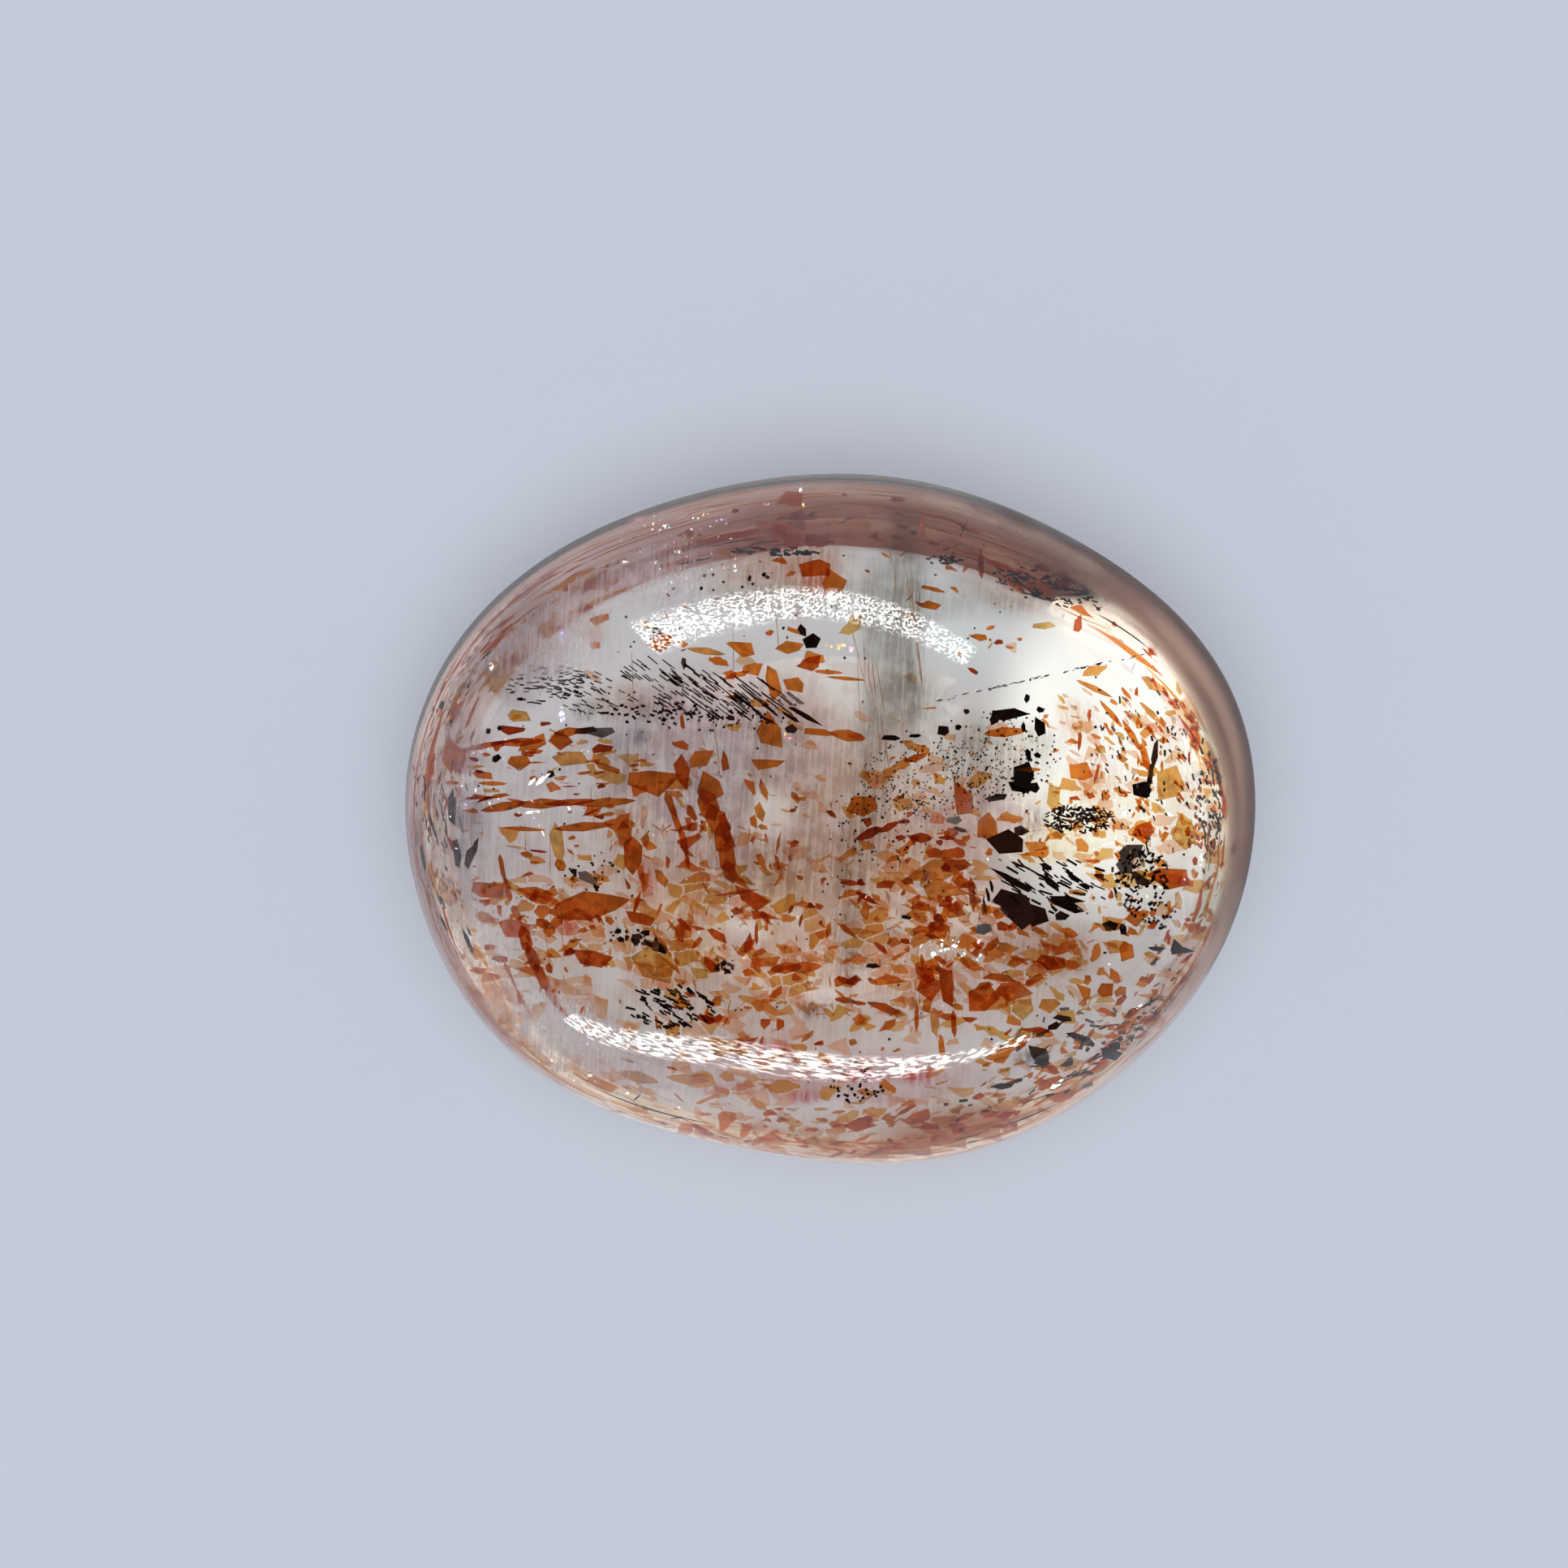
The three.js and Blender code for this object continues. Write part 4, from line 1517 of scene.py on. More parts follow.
random.seed(23)
dashes = (
    patch((672, 842), (50, 24), 80, (5, 10), (1.4, 2.4), -3, 8, BLACK, FIELD_DEPTH, 8)
    + patch((735, 852), (50, 28), 60, (5, 12), (1.3, 2.2), -22, 10, BROWN, FIELD_DEPTH, 8)
    + patch((812, 828), (50, 15), 34, (10, 18), (1.3, 2), -36, 3, BLACK, FIELD_DEPTH, 4)
    + patch((855, 852), (60, 24), 56, (8, 16), (1.2, 2), -35, 3, BROWN, FIELD_DEPTH, 4)
    + patch((900, 858), (60, 26), 40, (14, 28), (1.4, 2.2), -37, 2, BLACK, FIELD_DEPTH, 4)
    + patch((945, 862), (40, 16), 20, (18, 34), (1.3, 2), -38, 2, BLACK, FIELD_DEPTH, 4)
    + patch((820, 878), (80, 14), 50, (4, 7), (2, 3.5), -15, 20, BLACK, FIELD_DEPTH, 8)
    + patch((1300, 1090), (70, 34), 64, (5, 18), (1.6, 3.4), -32, 10, BLACK, lean=20)
    + patch((1330, 1008), (44, 17), 150, (4, 9), (1.8, 3), -15, 40, BROWN, lean=20)
    + patch((825, 1240), (52, 26), 90, (5, 13), (1.6, 3.4), -28, 12, BLACK, lean=20)
    + patch((1296, 728), (76, 20), 110, (4, 10), (1.6, 3.2), -20, 15, BLACK, lean=20, tilt=0.25)
    + patch((1410, 970), (75, 120), 90, (3, 10), (1.6, 3.2), -75, 18, GREY + BROWN)
    + patch((1490, 960), (14, 90), 60, (3, 9), (1.6, 3), -80, 14, GREY)
    + patch((1160, 690), (24, 5), 30, (3, 6), (2, 3), -10, 20, BLACK, lean=20)
    + patch((1405, 1085), (34, 44), 110, (3, 9), (2, 4), 60, 40, BLACK, lean=20)
    + patch((1325, 1290), (100, 55), 40, (5, 14), (1.6, 4.5), 15, 25, GREY)
    + patch((1490, 1000), (18, 60), 60, (3, 9), (1.6, 3), -75, 25, GREY)
    + patch((562, 1010), (34, 80), 12, (8, 22), (1.2, 2), -82, 12, GREY)
    + patch((950, 680), (60, 5), 40, (5, 12), (2, 3), -10, 15, BLACK)
    + rim_patch(0.86, 0.96, -75, -25, 30, (4, 12), (1.6, 4), BROWN)
    + dotted_line((1140, 867), (1412, 808), 70)
    + dotted_line((1165, 700), (1190, 640), 14)
)
grow("dark_dashes", dashes, dark_hematite, {
    "Sides": 4,
    "Corner Turn": math.radians(45),
    "Corner Reach": math.sqrt(2),
    "Raggedness": 0.12,
    "Seed": 8.0,
})

random.seed(31)
pepper = (
    patch((1150, 958), (90, 50), 330, (1.6, 4), (1.6, 4), 0, 90, BLACK, lean=20)
    + patch((1235, 930), (75, 55), 170, (1.8, 5), (1.8, 4.5), 0, 90, BLACK, lean=20)
    + patch((1090, 1020), (60, 50), 90, (2, 5), (2, 5), 0, 90, BLACK, lean=20)
    + patch((880, 885), (90, 16), 60, (3, 6), (2.5, 5), 0, 60, BLACK, lean=20)
    + patch((1060, 1334), (34, 26), 44, (3, 7), (3, 6), 0, 60, BLACK, lean=20)
    + patch((890, 1190), (14, 12), 14, (4, 8), (3, 6), 0, 60, BROWN, lean=20)
    + patch((780, 1155), (30, 14), 20, (4, 8), (3, 6), 0, 60, BLACK, lean=20)
    + patch((730, 1075), (36, 24), 26, (3, 6), (3, 5), 0, 60, BLACK, lean=20)
    + patch((1430, 1130), (24, 16), 24, (3, 7), (3, 6), 0, 60, BLACK, lean=20)
    + patch((900, 716), (60, 20), 12, (4, 8), (4, 7), 0, 60, BROWN, lean=20)
    + patch((1000, 1010), (420, 330), 200, (2, 5), (2, 4.5), 0, 60, BROWN)
)
grow("dark_pepper", pepper, dark_hematite, {
    "Sides": 5,
    "Raggedness": 0.3,
    "Half Thickness": 0.006 * MM,
    "Seed": 9.0,
})

# %% Veils and growth lines
# column, row, length, width, turn, shade
VEILS = (
    (1124, 840, 110, 18, -84, SMOKE), (1135, 640, 110, 9, -86, RUST), (800, 1083, 80, 34, -85, RUST),
    (781, 1050, 60, 26, -85, RUST), (1272, 1010, 50, 44, 0, MAUVE), (700, 1142, 40, 34, 0, CRIMSON),
    (1003, 1245, 50, 32, 0, MAUVE), (955, 1290, 60, 30, 0, CRIMSON), (876, 1335, 50, 20, 0, CRIMSON),
    (912, 1336, 40, 18, 0, CRIMSON), (998, 1350, 60, 26, 0, CRIMSON), (1061, 1326, 70, 26, 0, CRIMSON),
    (1128, 1326, 90, 30, 0, CRIMSON), (718, 874, 40, 30, 0, SMOKE), (790, 908, 44, 30, 0, SMOKE),
    (952, 662, 70, 50, 0, RUST), (1000, 710, 90, 60, 0, RUST),
    (1330, 890, 90, 60, -40, BEIGE), (1350, 960, 80, 90, 0, BEIGE), (1270, 720, 110, 34, -12, RUST),
    (731, 780, 40, 44, 0, BEIGE), (612, 1240, 90, 60, -40, BEIGE), (1400, 1060, 50, 50, 0, SMOKE),
    (1265, 1305, 60, 30, 10, SMOKE), (750, 1290, 120, 40, -22, MILK),
    (682, 955, 60, 26, 40, MILK), (606, 830, 14, 50, 10, MILK), (690, 878, 34, 16, 70, MILK),
    (692, 785, 26, 18, 50, MILK), (870, 1300, 70, 30, -10, MILK),
)

random.seed(43)
grow("veils", with_depth(VEILS), soft_veil, {
    "Sides": 14,
    "Raggedness": 0.2,
    "Half Thickness": 0.002 * MM,
    "Seed": 10.0,
})

# %% Glints
# column, row, length, width, turn, shade
GLINTS = (
    (1035, 797, 22, 9, 10, GOLD), (1022, 796, 12, 8, 0, GOLD), (1048, 800, 12, 7, -10, ROSE),
    (785, 637, 30, 7, 15, ROSE), (886, 641, 14, 6, 0, VIOLET), (818, 649, 8, 8, 0, SILVER),
    (842, 660, 9, 6, 0, CYAN), (868, 634, 18, 6, 0, GOLD), (925, 614, 38, 5, 4, SILVER),
    (946, 620, 8, 6, 0, SILVER), (835, 680, 16, 6, -20, SILVER), (805, 694, 10, 5, 0, SILVER),
    (768, 694, 8, 6, 0, SILVER), (815, 727, 16, 8, -30, SILVER), (888, 742, 9, 8, 0, SILVER),
    (905, 700, 6, 12, 0, SILVER), (818, 777, 10, 12, 0, SILVER), (971, 909, 14, 8, 0, ROSE),
    (965, 904, 8, 8, 0, GOLD), (726, 1324, 8, 6, 0, SILVER), (731, 1330, 6, 5, 0, SILVER),
    (769, 1345, 8, 5, 0, SILVER), (797, 1352, 7, 8, 0, SILVER), (833, 1364, 8, 7, 0, SILVER),
    (869, 1373, 7, 7, 0, SILVER), (879, 1388, 7, 7, 0, SILVER), (1163, 1170, 16, 6, 20, CYAN),
    (1176, 1165, 12, 6, -10, SILVER), (1150, 1176, 8, 8, 0, CYAN), (1186, 1172, 9, 5, 0, CYAN),
    (1206, 1162, 5, 12, 0, ROSE), (1208, 1176, 6, 10, 0, CYAN), (1204, 1184, 5, 7, 0, SILVER),
    (670, 958, 24, 8, 40, SILVER), (655, 962, 14, 6, 45, SILVER), (720, 925, 14, 12, 60, SILVER),
    (642, 1000, 14, 5, 0, SILVER), (656, 1000, 26, 4, 5, SILVER), (606, 822, 6, 16, 10, SILVER),
    (613, 813, 12, 12, 0, SILVER), (692, 785, 12, 18, 10, VIOLET), (691, 879, 12, 26, 12, VIOLET),
    (1302, 1335, 30, 7, 32, SILVER), (1403, 1240, 16, 5, 35, SILVER),
    (1060, 1322, 30, 10, 0, ROSE), (955, 1290, 24, 10, 0, ROSE), (897, 1362, 18, 7, -5, ROSE),
    (988, 604, 4, 9, 0, SILVER), (992, 622, 5, 9, 0, GOLD), (1135, 650, 4, 14, 0, GOLD),
    (1350, 930, 8, 20, 10, SILVER), (1390, 1000, 20, 8, 20, SILVER), (1360, 1040, 50, 5, 25, SILVER),
    (1440, 1000, 14, 5, -30, SILVER), (1465, 960, 6, 20, 20, SILVER), (1480, 1060, 6, 20, 0, SILVER),
)

IRIDESCENT = (SILVER, SILVER, VIOLET, ROSE, CYAN)

random.seed(57)
sparkle = (
    patch((840, 675), (90, 45), 110, (2, 5), (1.2, 3), 0, 60, IRIDESCENT, (0.05, 0.4), 12)
    + patch((1165, 1170), (34, 12), 30, (3, 7), (1.5, 4), 0, 60, (SILVER, CYAN, CYAN), (0.2, 0.6), 12)
    + patch((700, 1280), (120, 50), 40, (2, 5), (1.2, 3), 0, 60, (SILVER, ROSE), (0.1, 0.5), 14)
    + patch((1430, 990), (60, 120), 50, (3, 10), (1, 2.6), -60, 30, (SILVER, SILVER, GOLD), (0.1, 0.6), 14)
    + patch((620, 980), (90, 90), 46, (3, 10), (1, 2.6), -60, 40, (SILVER, SILVER, VIOLET), (0.1, 0.6), 14)
    + patch((1100, 1080), (330, 220), 50, (2, 6), (1, 2.6), 0, 60, (SILVER, GOLD), (0.2, 0.7), 14)
)
glints = [(*row, random.uniform(0.15, 0.5), random.uniform(0, 10)) for row in GLINTS]
grow("glints", glints + sparkle, crack_glint, {
    "Sides": 6,
    "Raggedness": 0.5,
    "Seed": 12.0,
})

# %% [markdown]
# ## Planes of fine grains
# The finest flakes and needles lie by the thousand on a few planes of the crystal, too many to set one by
# one. Each plane is a thin sheet across the stone, built on a grid of sight lines, so every corner knows the
# photo pixel that it shows at. A Voronoi texture cuts the sheet into cells, as crystals that meet are cut,
# and only some cells hold a grain: how many, and of what shade, is painted on the corners region by region. A
# streaky stain between the grains stands for needles finer than a pixel. The regions are ovals of photo
# pixels, drawn one by one, with soft and ragged rims.
# Along the left and right rim, the stain is painted shade that darkens the band of total reflection.

# %% Soft regions
WANDER = 26                     # pixels by which the rim of a region wanders
WANDER_SIZE = 90                # pixels from one bay of that rim to the next
noise.seed_set(5)               # or the rims would wander another way each time


def cover_at(column, row, region):
    """1 in the middle of an oval region, 0 outside it, soft and ragged in between."""
    middle_column, middle_row, half_width, half_height = region[:4]
    calm = min(1.0, half_width / WANDER_SIZE)
    wander = noise.noise_vector(Vector((column, row, middle_row)) / WANDER_SIZE) * WANDER * calm
    x = (column + wander.x - middle_column) / half_width
    y = (row + wander.y - middle_row) / half_height
    share = min(1.0, max(0.0, (1.2 - math.hypot(x, y)) / 0.8))
    return share * share * (3 - 2 * share)


# column, row, half width, half height, share of cells that hold a grain, shade
GRAIN_REGIONS = (
    (1270, 1210, 185, 90, 0.15, 0.6), (1270, 1200, 210, 115, 0.22, 0.95), (1000, 1180, 300, 150, 0.34, 0.97),
    (1000, 1200, 240, 90, 0.12, 0.7), (1420, 1010, 80, 140, 0.10, 0.7), (1400, 990, 100, 160, 0.20, 0.97),
    (1120, 1070, 110, 70, 0.18, 0.6), (650, 960, 120, 75, 0.10, 0.5), (660, 1150, 110, 110, 0.10, 0.6),
    (760, 1140, 170, 120, 0.28, 0.97), (860, 1060, 110, 140, 0.08, 0.65), (1050, 1385, 340, 46, 0.36, 0.8),
    (900, 1335, 260, 46, 0.20, 0.9), (620, 1225, 70, 70, 0.25, 0.95), (1455, 1150, 60, 100, 0.25, 0.85),
    (1330, 1300, 130, 70, 0.14, 0.7), (955, 650, 100, 60, 0.16, 0.5), (1270, 715, 100, 34, 0.25, 0.2),
    (930, 830, 70, 45, 0.10, 0.55), (1100, 960, 200, 90, 0.12, 0.9), (1000, 1010, 480, 380, 0.02, 0.7),
    (1305, 1162, 60, 34, 0.35, 0.4), (975, 1218, 70, 40, 0.30, 0.55), (1212, 1045, 70, 40, 0.30, 0.5),
    (1302, 1038, 60, 40, 0.30, 0.6), (775, 1010, 44, 80, 0.14, 0.6),
    (822, 1010, 50, 60, 0.20, 0.5), (640, 1097, 50, 34, 0.30, 0.4),
)
# Spots where the crystal stayed clear: column, row, half width, half height, how clear
CLEARINGS = (
    (1300, 1098, 85, 38, 0.9), (920, 1148, 24, 18, 0.9), (948, 1003, 36, 44, 0.9), (1175, 1128, 26, 30, 0.8),
    (1400, 1225, 44, 22, 0.8), (752, 1196, 26, 30, 0.7), (1330, 1210, 30, 14, 0.7), (595, 960, 34, 22, 0.6),
    (1110, 1146, 24, 14, 0.6), (1018, 1228, 30, 14, 0.6), (1440, 1150, 30, 20, 0.7), (870, 1150, 20, 30, 0.5),
)
BEIGE_STAIN, MAUVE_STAIN, SMOKE_STAIN = linear("dab9a3"), linear("b2a0a8"), linear("aea59a")
RUST_STAIN, STRAW_STAIN, BLUSH_STAIN = linear("cc9468"), linear("ecd9a4"), linear("e2a8a4")
# The dusk and rim colours are painted shade: they darken the band of total reflection at the left and right
# rim.
LEFT_RIM_SHADE, RIGHT_RIM_SHADE = linear("90808a"), linear("84665f")
# column, row, half width, half height, strength, colour
STAIN_REGIONS = (
    (960, 1150, 350, 170, 0.60, BEIGE_STAIN), (1220, 1190, 150, 80, 0.30, BEIGE_STAIN),
    (1060, 1020, 180, 100, 0.60, BEIGE_STAIN), (1000, 930, 110, 90, 0.55, BEIGE_STAIN),
    (860, 930, 190, 90, 0.65, MAUVE_STAIN), (900, 1040, 150, 80, 0.45, MAUVE_STAIN),
    # The two dusky regions at the left rim are painted shade, which darkens the band of total reflection
    # there.
    (615, 770, 85, 115, 0.80, LEFT_RIM_SHADE), (550, 980, 50, 240, 0.70, LEFT_RIM_SHADE),
    (650, 1010, 120, 110, 0.30, MAUVE_STAIN), (1112, 760, 30, 200, 0.75, SMOKE_STAIN),
    (1078, 800, 20, 150, 0.50, SMOKE_STAIN), (1075, 960, 26, 110, 0.60, SMOKE_STAIN),
    (1045, 1120, 20, 130, 0.55, SMOKE_STAIN), (1225, 930, 90, 56, 0.75, SMOKE_STAIN),
    (1040, 742, 240, 30, 0.45, SMOKE_STAIN), (960, 680, 110, 70, 0.65, RUST_STAIN),
    (1330, 1000, 100, 60, 0.25, STRAW_STAIN), (1430, 1000, 60, 120, 0.25, STRAW_STAIN),
    (1462, 930, 44, 100, 0.20, SMOKE_STAIN),
    (900, 870, 130, 60, 0.35, BLUSH_STAIN), (900, 1315, 200, 40, 0.35, BLUSH_STAIN),
    (1080, 1330, 160, 40, 0.50, BLUSH_STAIN), (1000, 1395, 320, 40, 0.50, BEIGE_STAIN),
    (700, 1290, 140, 50, 0.20, MAUVE_STAIN), (862, 1145, 44, 60, 0.70, STRAW_STAIN),
    (965, 1095, 40, 40, 0.60, STRAW_STAIN), (1280, 728, 110, 34, 0.50, RUST_STAIN),
    (1250, 1000, 60, 60, 0.35, MAUVE_STAIN), (770, 865, 60, 26, 0.60, BEIGE_STAIN),
    (1190, 995, 60, 40, 0.50, BEIGE_STAIN), (1230, 1385, 140, 46, 0.40, STRAW_STAIN),
    (1120, 868, 44, 50, 0.55, SMOKE_STAIN), (775, 1010, 50, 90, 0.45, BEIGE_STAIN),
    (1300, 1165, 60, 40, 0.60, RUST_STAIN), (1300, 1040, 60, 44, 0.50, STRAW_STAIN),
)
# Along the right rim, painted shade that darkens the band of total reflection there, and along the lower rim
# a rusty stain, painted the same way
RIM_SHADE_AND_RUST_REGIONS = (
    (1566, 890, 66, 150, 0.4, RIGHT_RIM_SHADE), (1500, 760, 50, 60, 0.2, RIGHT_RIM_SHADE),
    (1420, 694, 60, 40, 0.5, RIGHT_RIM_SHADE), (1556, 1040, 46, 120, 0.3, RIGHT_RIM_SHADE),
    (1190, 1402, 130, 34, 0.8, RUST_STAIN),
)
# column, row, half width, half height, share of light that the milk scatters
MILK_REGIONS = (
    (640, 750, 130, 110, 0.70), (770, 690, 120, 60, 0.60), (560, 900, 40, 140, 0.30),
    (640, 1280, 130, 70, 0.80), (600, 1180, 60, 120, 0.30), (820, 1330, 140, 40, 0.25),
    (1000, 650, 160, 36, 0.15), (1180, 1000, 70, 30, 0.15),
)


def ovals(column, row, regions):
    """How far each oval region covers a photo pixel."""
    return [cover_at(column, row, region) * region[4] for region in regions]


def joined(covers):
    """What several covers that lie over each other hide together."""
    return 1 - math.prod(1 - cover for cover in covers)


def grains_at(column, row, share):
    """Share of cells with a grain at a photo pixel, and their shade."""
    covers = ovals(column, row, GRAIN_REGIONS)
    shade = sum(cover * region[5] for cover, region in zip(covers, GRAIN_REGIONS)) / max(sum(covers), 0.001)
    clear = 1 - joined(ovals(column, row, CLEARINGS))
    return joined([cover * share for cover in covers]) * clear, shade


def stain_at(column, row, regions, strength):
    """Colour of the stain at a photo pixel, painted rim shade included. A clearing takes most of it away."""
    stain = [1.0, 1.0, 1.0]
    clear = 1 - joined(ovals(column, row, CLEARINGS))
    for cover, region in zip(ovals(column, row, regions), regions):
        stain = [value * (1 - cover * clear * (1 - region[5][k])) for k, value in enumerate(stain)]
    return (*[value ** strength for value in stain], 1.0)


# The regions of stain counted here hold the painted rim shade too.
print("regions:", len(GRAIN_REGIONS), "of grains,", len(STAIN_REGIONS + RIM_SHADE_AND_RUST_REGIONS), "of stain")

# %% Film of grains
GRAIN_BODY = 0.09               # share of a grain's face that scatters instead of tinting
GRAIN_GAP = (0.03, 0.08)        # where the clear gap between two grains ends, as a share of a cell
GRAIN_SPREAD = 0.35             # how far a grain's shade strays


def crystal_cells(tree, seen, cell, long, turn, shift):
    """Texture place, and a random colour for each cell of this width and length in mm."""
    wobble = add_node(tree, "ShaderNodeTexNoise", {"noise_dimensions": "2D"}, {
        "Vector": seen,
        "Scale": 1 / (0.6 * cell),
        "Detail": 1.0,
    })
    moved = add_node(tree, "ShaderNodeVectorMath", {"operation": "MULTIPLY_ADD"}, {
        0: wobble.outputs["Color"],
        1: (0.3 * cell, 0.3 * cell, 0.0),
        2: seen,
    })
    placed = add_node(tree, "ShaderNodeMapping", {"vector_type": "TEXTURE"}, {
        "Vector": moved.outputs[0],
        "Location": (shift, shift, 0.0),
        "Rotation": (0.0, 0.0, math.radians(turn)),
        "Scale": (long, cell, 1.0),
    }).outputs["Vector"]
    cells = add_node(tree, "ShaderNodeTexVoronoi", {"voronoi_dimensions": "2D"}, {
        "Vector": placed,
        "Scale": 1.0,
    })
    chance = add_node(tree, "ShaderNodeSeparateXYZ", {}, {"Vector": cells.outputs["Color"]})
    return placed, chance.outputs


def grain_film(name, cell, long, turn, shift, gaps):
    """Sheet of crystal cells, some of them grains, with clear gaps between them or not."""
    material, tree, output = new_material(name)
    seen = add_node(tree, "ShaderNodeUVMap", {"uv_map": "seen"}).outputs["UV"]
    placed, chance = crystal_cells(tree, seen, cell, long, turn, shift)
    grains = add_node(tree, "ShaderNodeAttribute", {"attribute_name": "grains"})
    present = add_node(tree, "ShaderNodeMath", {"operation": "LESS_THAN"}, {
        0: chance["X"],
        1: grains.outputs["Fac"],
    })
    if gaps:
        edges = add_node(tree, "ShaderNodeTexVoronoi", {
            "voronoi_dimensions": "2D",
            "feature": "DISTANCE_TO_EDGE",
        }, {
            "Vector": placed,
            "Scale": 1.0,
        })
        inside = add_node(tree, "ShaderNodeMapRange", {}, {
            "Value": edges.outputs["Distance"],
            "From Min": GRAIN_GAP[0],
            "From Max": GRAIN_GAP[1],
        })
        present = add_node(tree, "ShaderNodeMath", {"operation": "MULTIPLY", "use_clamp": True}, {
            0: present.outputs[0],
            1: inside.outputs["Result"],
        })
    shade = add_node(tree, "ShaderNodeAttribute", {"attribute_name": "grain_shade"})
    varied = add_node(tree, "ShaderNodeMapRange", {}, {
        "Value": chance["Y"],
        "To Min": -GRAIN_SPREAD,
        "To Max": GRAIN_SPREAD,
    })
    own_shade = add_node(tree, "ShaderNodeMath", {"operation": "ADD", "use_clamp": True}, {
        0: shade.outputs["Fac"],
        1: varied.outputs["Result"],
    })
    colour = add_node(tree, "ShaderNodeValToRGB", {}, {"Fac": own_shade.outputs[0]})
    fill_ramp(colour, FLAKE_COLOURS)
    tinted = add_node(tree, "ShaderNodeMix", {"data_type": "RGBA"}, {
        0: present.outputs[0],
        6: linear("ffffff"),
        7: colour.outputs["Color"],
    })
    stain = add_node(tree, "ShaderNodeAttribute", {"attribute_name": "stain"})
    both = add_node(tree, "ShaderNodeVectorMath", {"operation": "MULTIPLY"}, {
        0: tinted.outputs[2],
        1: stain.outputs["Color"],
    })
    film = add_node(tree, "ShaderNodeBsdfTransparent", {}, {"Color": both.outputs[0]})
    surface = add_node(tree, "ShaderNodeBsdfPrincipled", {}, {
        "Base Color": colour.outputs["Color"],
        "Roughness": 0.5,
    })
    body = add_node(tree, "ShaderNodeMath", {"operation": "MULTIPLY", "use_clamp": True}, {
        0: present.outputs[0],
        1: GRAIN_BODY,
    })
    mixed = add_node(tree, "ShaderNodeMixShader", {}, {
        "Fac": body.outputs[0],
        1: film.outputs["BSDF"],
        2: surface.outputs["BSDF"],
    })
    tree.links.new(mixed.outputs[0], output.inputs["Surface"])
    return material


coarse_film = grain_film("coarse_grain_film", cell=0.17, long=0.28, turn=8, shift=3.7, gaps=True)
fine_film = grain_film("fine_grain_film", cell=0.09, long=0.18, turn=-25, shift=7.4, gaps=False)
print("films of grains:", coarse_film.name, fine_film.name)

# %% Film of needles
NEEDLE_WIDTH = 0.05             # mm, as seen, drawn coarser than real ones
NEEDLE_LENGTH = 1.1             # mm, as seen
NEEDLE_TURN = -4                # degrees
CLOUDS_PER_MM = 4.0
THIN_AND_DENSE = (0.4, 1.2)     # how much a thin and a dense place of the film hide
HAZE_COLOUR = "eee4ee"


def needle_film(name):
    """Sheet with a streaky, cloudy stain and patches of milk."""
    material, tree, output = new_material(name)
    seen = add_node(tree, "ShaderNodeUVMap", {"uv_map": "seen"}).outputs["UV"]
    drawn_out = add_node(tree, "ShaderNodeMapping", {"vector_type": "TEXTURE"}, {
        "Vector": seen,
        "Rotation": (0.0, 0.0, math.radians(NEEDLE_TURN)),
        "Scale": (NEEDLE_WIDTH, NEEDLE_LENGTH, 1.0),
    })
    needles = add_node(tree, "ShaderNodeTexNoise", {"noise_dimensions": "2D"}, {
        "Vector": drawn_out.outputs["Vector"],
        "Scale": 1.0,
        "Detail": 2.0,
        "Roughness": 0.7,
    })
    clouds = add_node(tree, "ShaderNodeTexNoise", {"noise_dimensions": "2D"}, {
        "Vector": seen,
        "Scale": CLOUDS_PER_MM,
        "Detail": 3.0,
        "Roughness": 0.6,
    })
    dense = [add_node(tree, "ShaderNodeMapRange", {}, {
        "Value": noisy.outputs["Fac"],
        "From Min": 0.35,
        "From Max": brightest,
        "To Min": THIN_AND_DENSE[0],
        "To Max": THIN_AND_DENSE[1],
    }) for noisy, brightest in ((needles, 0.65), (clouds, 0.62))]
    amount = add_node(tree, "ShaderNodeMath", {"operation": "MULTIPLY", "use_clamp": True}, {
        0: dense[0].outputs["Result"],
        1: dense[1].outputs["Result"],
    })
    stain = add_node(tree, "ShaderNodeAttribute", {"attribute_name": "stain"})
    tinted = add_node(tree, "ShaderNodeMix", {"data_type": "RGBA"}, {
        0: amount.outputs[0],
        6: linear("ffffff"),
        7: stain.outputs["Color"],
    })
    film = add_node(tree, "ShaderNodeBsdfTransparent", {}, {"Color": tinted.outputs[2]})
    milk = add_node(tree, "ShaderNodeAttribute", {"attribute_name": "milk"})
    cover = add_node(tree, "ShaderNodeMath", {"operation": "MULTIPLY", "use_clamp": True}, {
        0: milk.outputs["Fac"],
        1: amount.outputs[0],
    })
    haze = add_node(tree, "ShaderNodeBsdfDiffuse", {}, {"Color": linear(HAZE_COLOUR)})
    mixed = add_node(tree, "ShaderNodeMixShader", {}, {
        "Fac": cover.outputs[0],
        1: film.outputs["BSDF"],
        2: haze.outputs["BSDF"],
    })
    tree.links.new(mixed.outputs[0], output.inputs["Surface"])
    return material


streaky_film = needle_film("needle_film")
print("film of needles:", streaky_film.name)

# %% Sheet on a grid of sight lines
GRID_STEP = 10                  # photo pixels from one corner to the next
GRID_COLUMNS = range(470, 1590, GRID_STEP)
GRID_ROWS = range(550, 1480, GRID_STEP)
SHEET_THICKNESS = 0.006         # mm


def on_plane(column, row, height, slope):
    """Where the sight line at a pixel crosses a nearly level plane, or None."""
    line = sight_line(column, row)
    if not line:
        return None
    entry, heading = line
    normal = Vector((*slope, 1.0))
    reach = (Vector((0, 0, height)) - entry).dot(normal) / heading.dot(normal)
    spot = entry + heading * reach
    return spot if reach > 0 and inside_stone(spot) else None


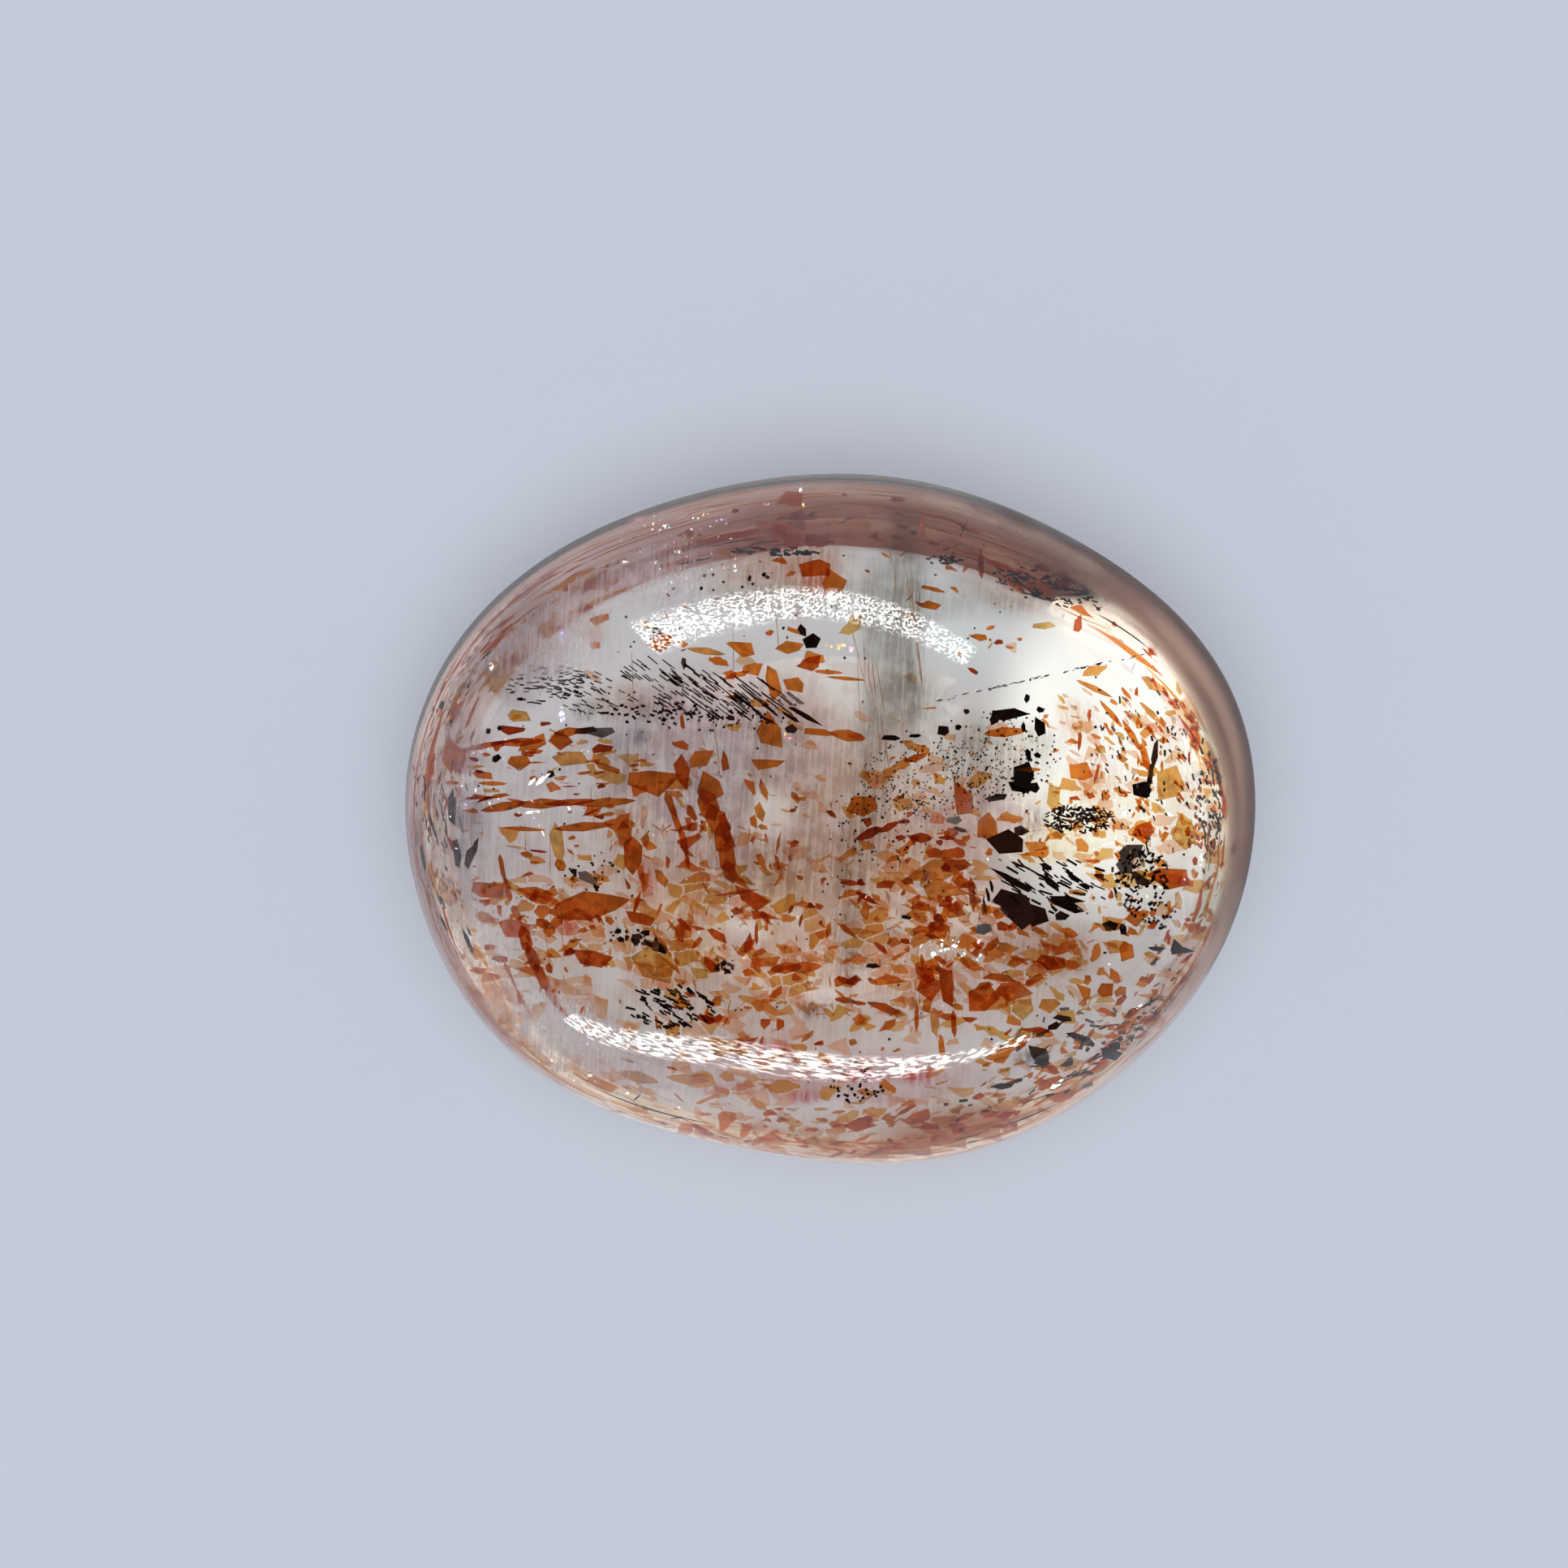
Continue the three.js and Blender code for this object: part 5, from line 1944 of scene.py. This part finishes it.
def grid_on_plane(height, slope):
    """Photo pixels and spots of a plane's grid, and its squares as rows of corner numbers."""
    spots = {}
    for column in GRID_COLUMNS:
        for row in GRID_ROWS:
            spot = on_plane(column, row, height, slope)
            if spot:
                spots[column, row] = spot
    squares = []
    for column, row in spots:
        square = [(column, row), (column, row + GRID_STEP),
                  (column + GRID_STEP, row + GRID_STEP), (column + GRID_STEP, row)]
        if all(corner in spots for corner in square):
            squares.append(square)
    corners = sorted({corner for square in squares for corner in square})
    number = {corner: place for place, corner in enumerate(corners)}
    tops = [[number[corner] for corner in square] for square in squares]
    return corners, [spots[corner] for corner in corners], tops


def grain_plane(name, height, slope, material, share, stains, strength):
    """A closed thin sheet, its height in mm, with grains, stain, painted rim shade and milk painted on its
    corners.
    """
    corners, spots, tops = grid_on_plane(height, slope)
    count = len(corners)
    edges = {(face[k], face[(k + 1) % 4]) for face in tops for k in range(4)}
    faces = tops + [[k + count for k in reversed(face)] for face in tops]
    faces += [(b, a, a + count, b + count) for a, b in sorted(edges) if (b, a) not in edges]
    drop = Vector((0, 0, SHEET_THICKNESS))
    points = [spot * MM for spot in spots] + [(spot - drop) * MM for spot in spots]
    mesh = bpy.data.meshes.new(name)
    mesh.from_pydata(points, [], faces)
    layer = mesh.uv_layers.new(name="seen")
    for loop in mesh.loops:
        column, row = corners[loop.vertex_index % count]
        layer.data[loop.index].uv = (column / PIXELS_PER_MM, -row / PIXELS_PER_MM)
    grains = [grains_at(column, row, share) for column, row in corners] * 2
    stain = [value for column, row in corners for value in stain_at(column, row, stains, strength)] * 2
    milk = [joined(ovals(column, row, MILK_REGIONS)) for column, row in corners] * 2
    for place, key in enumerate(("grains", "grain_shade")):
        mesh.attributes.new(key, "FLOAT", "POINT").data.foreach_set("value", [pair[place] for pair in grains])
    mesh.attributes.new("stain", "FLOAT_COLOR", "POINT").data.foreach_set("color", stain)
    mesh.attributes.new("milk", "FLOAT", "POINT").data.foreach_set("value", milk)
    mesh.materials.append(material)
    mesh.materials.append(clear_back)
    for face in mesh.polygons[len(tops):]:
        face.material_index = 1
    sheet = add_object(name, mesh)
    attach(sheet, "root")
    print(name, count, "corners,", len(faces), "faces")


grain_plane("deep_grain_plane", height=0.9, slope=(0.03, 0.02), material=coarse_film,
            share=1.0, stains=STAIN_REGIONS, strength=0.4)
# The middle plane carries the painted shade of the right rim and the rusty stain of the lower rim.
grain_plane("middle_grain_plane", height=1.9, slope=(-0.02, 0.03), material=fine_film,
            share=0.45, stains=RIM_SHADE_AND_RUST_REGIONS, strength=1.0)
grain_plane("upper_needle_plane", height=3.0, slope=(0.02, -0.02), material=streaky_film,
            share=0.0, stains=STAIN_REGIONS, strength=0.65)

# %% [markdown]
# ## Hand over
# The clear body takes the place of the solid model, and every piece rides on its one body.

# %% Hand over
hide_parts("sunstone")
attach(clear_body, "root")
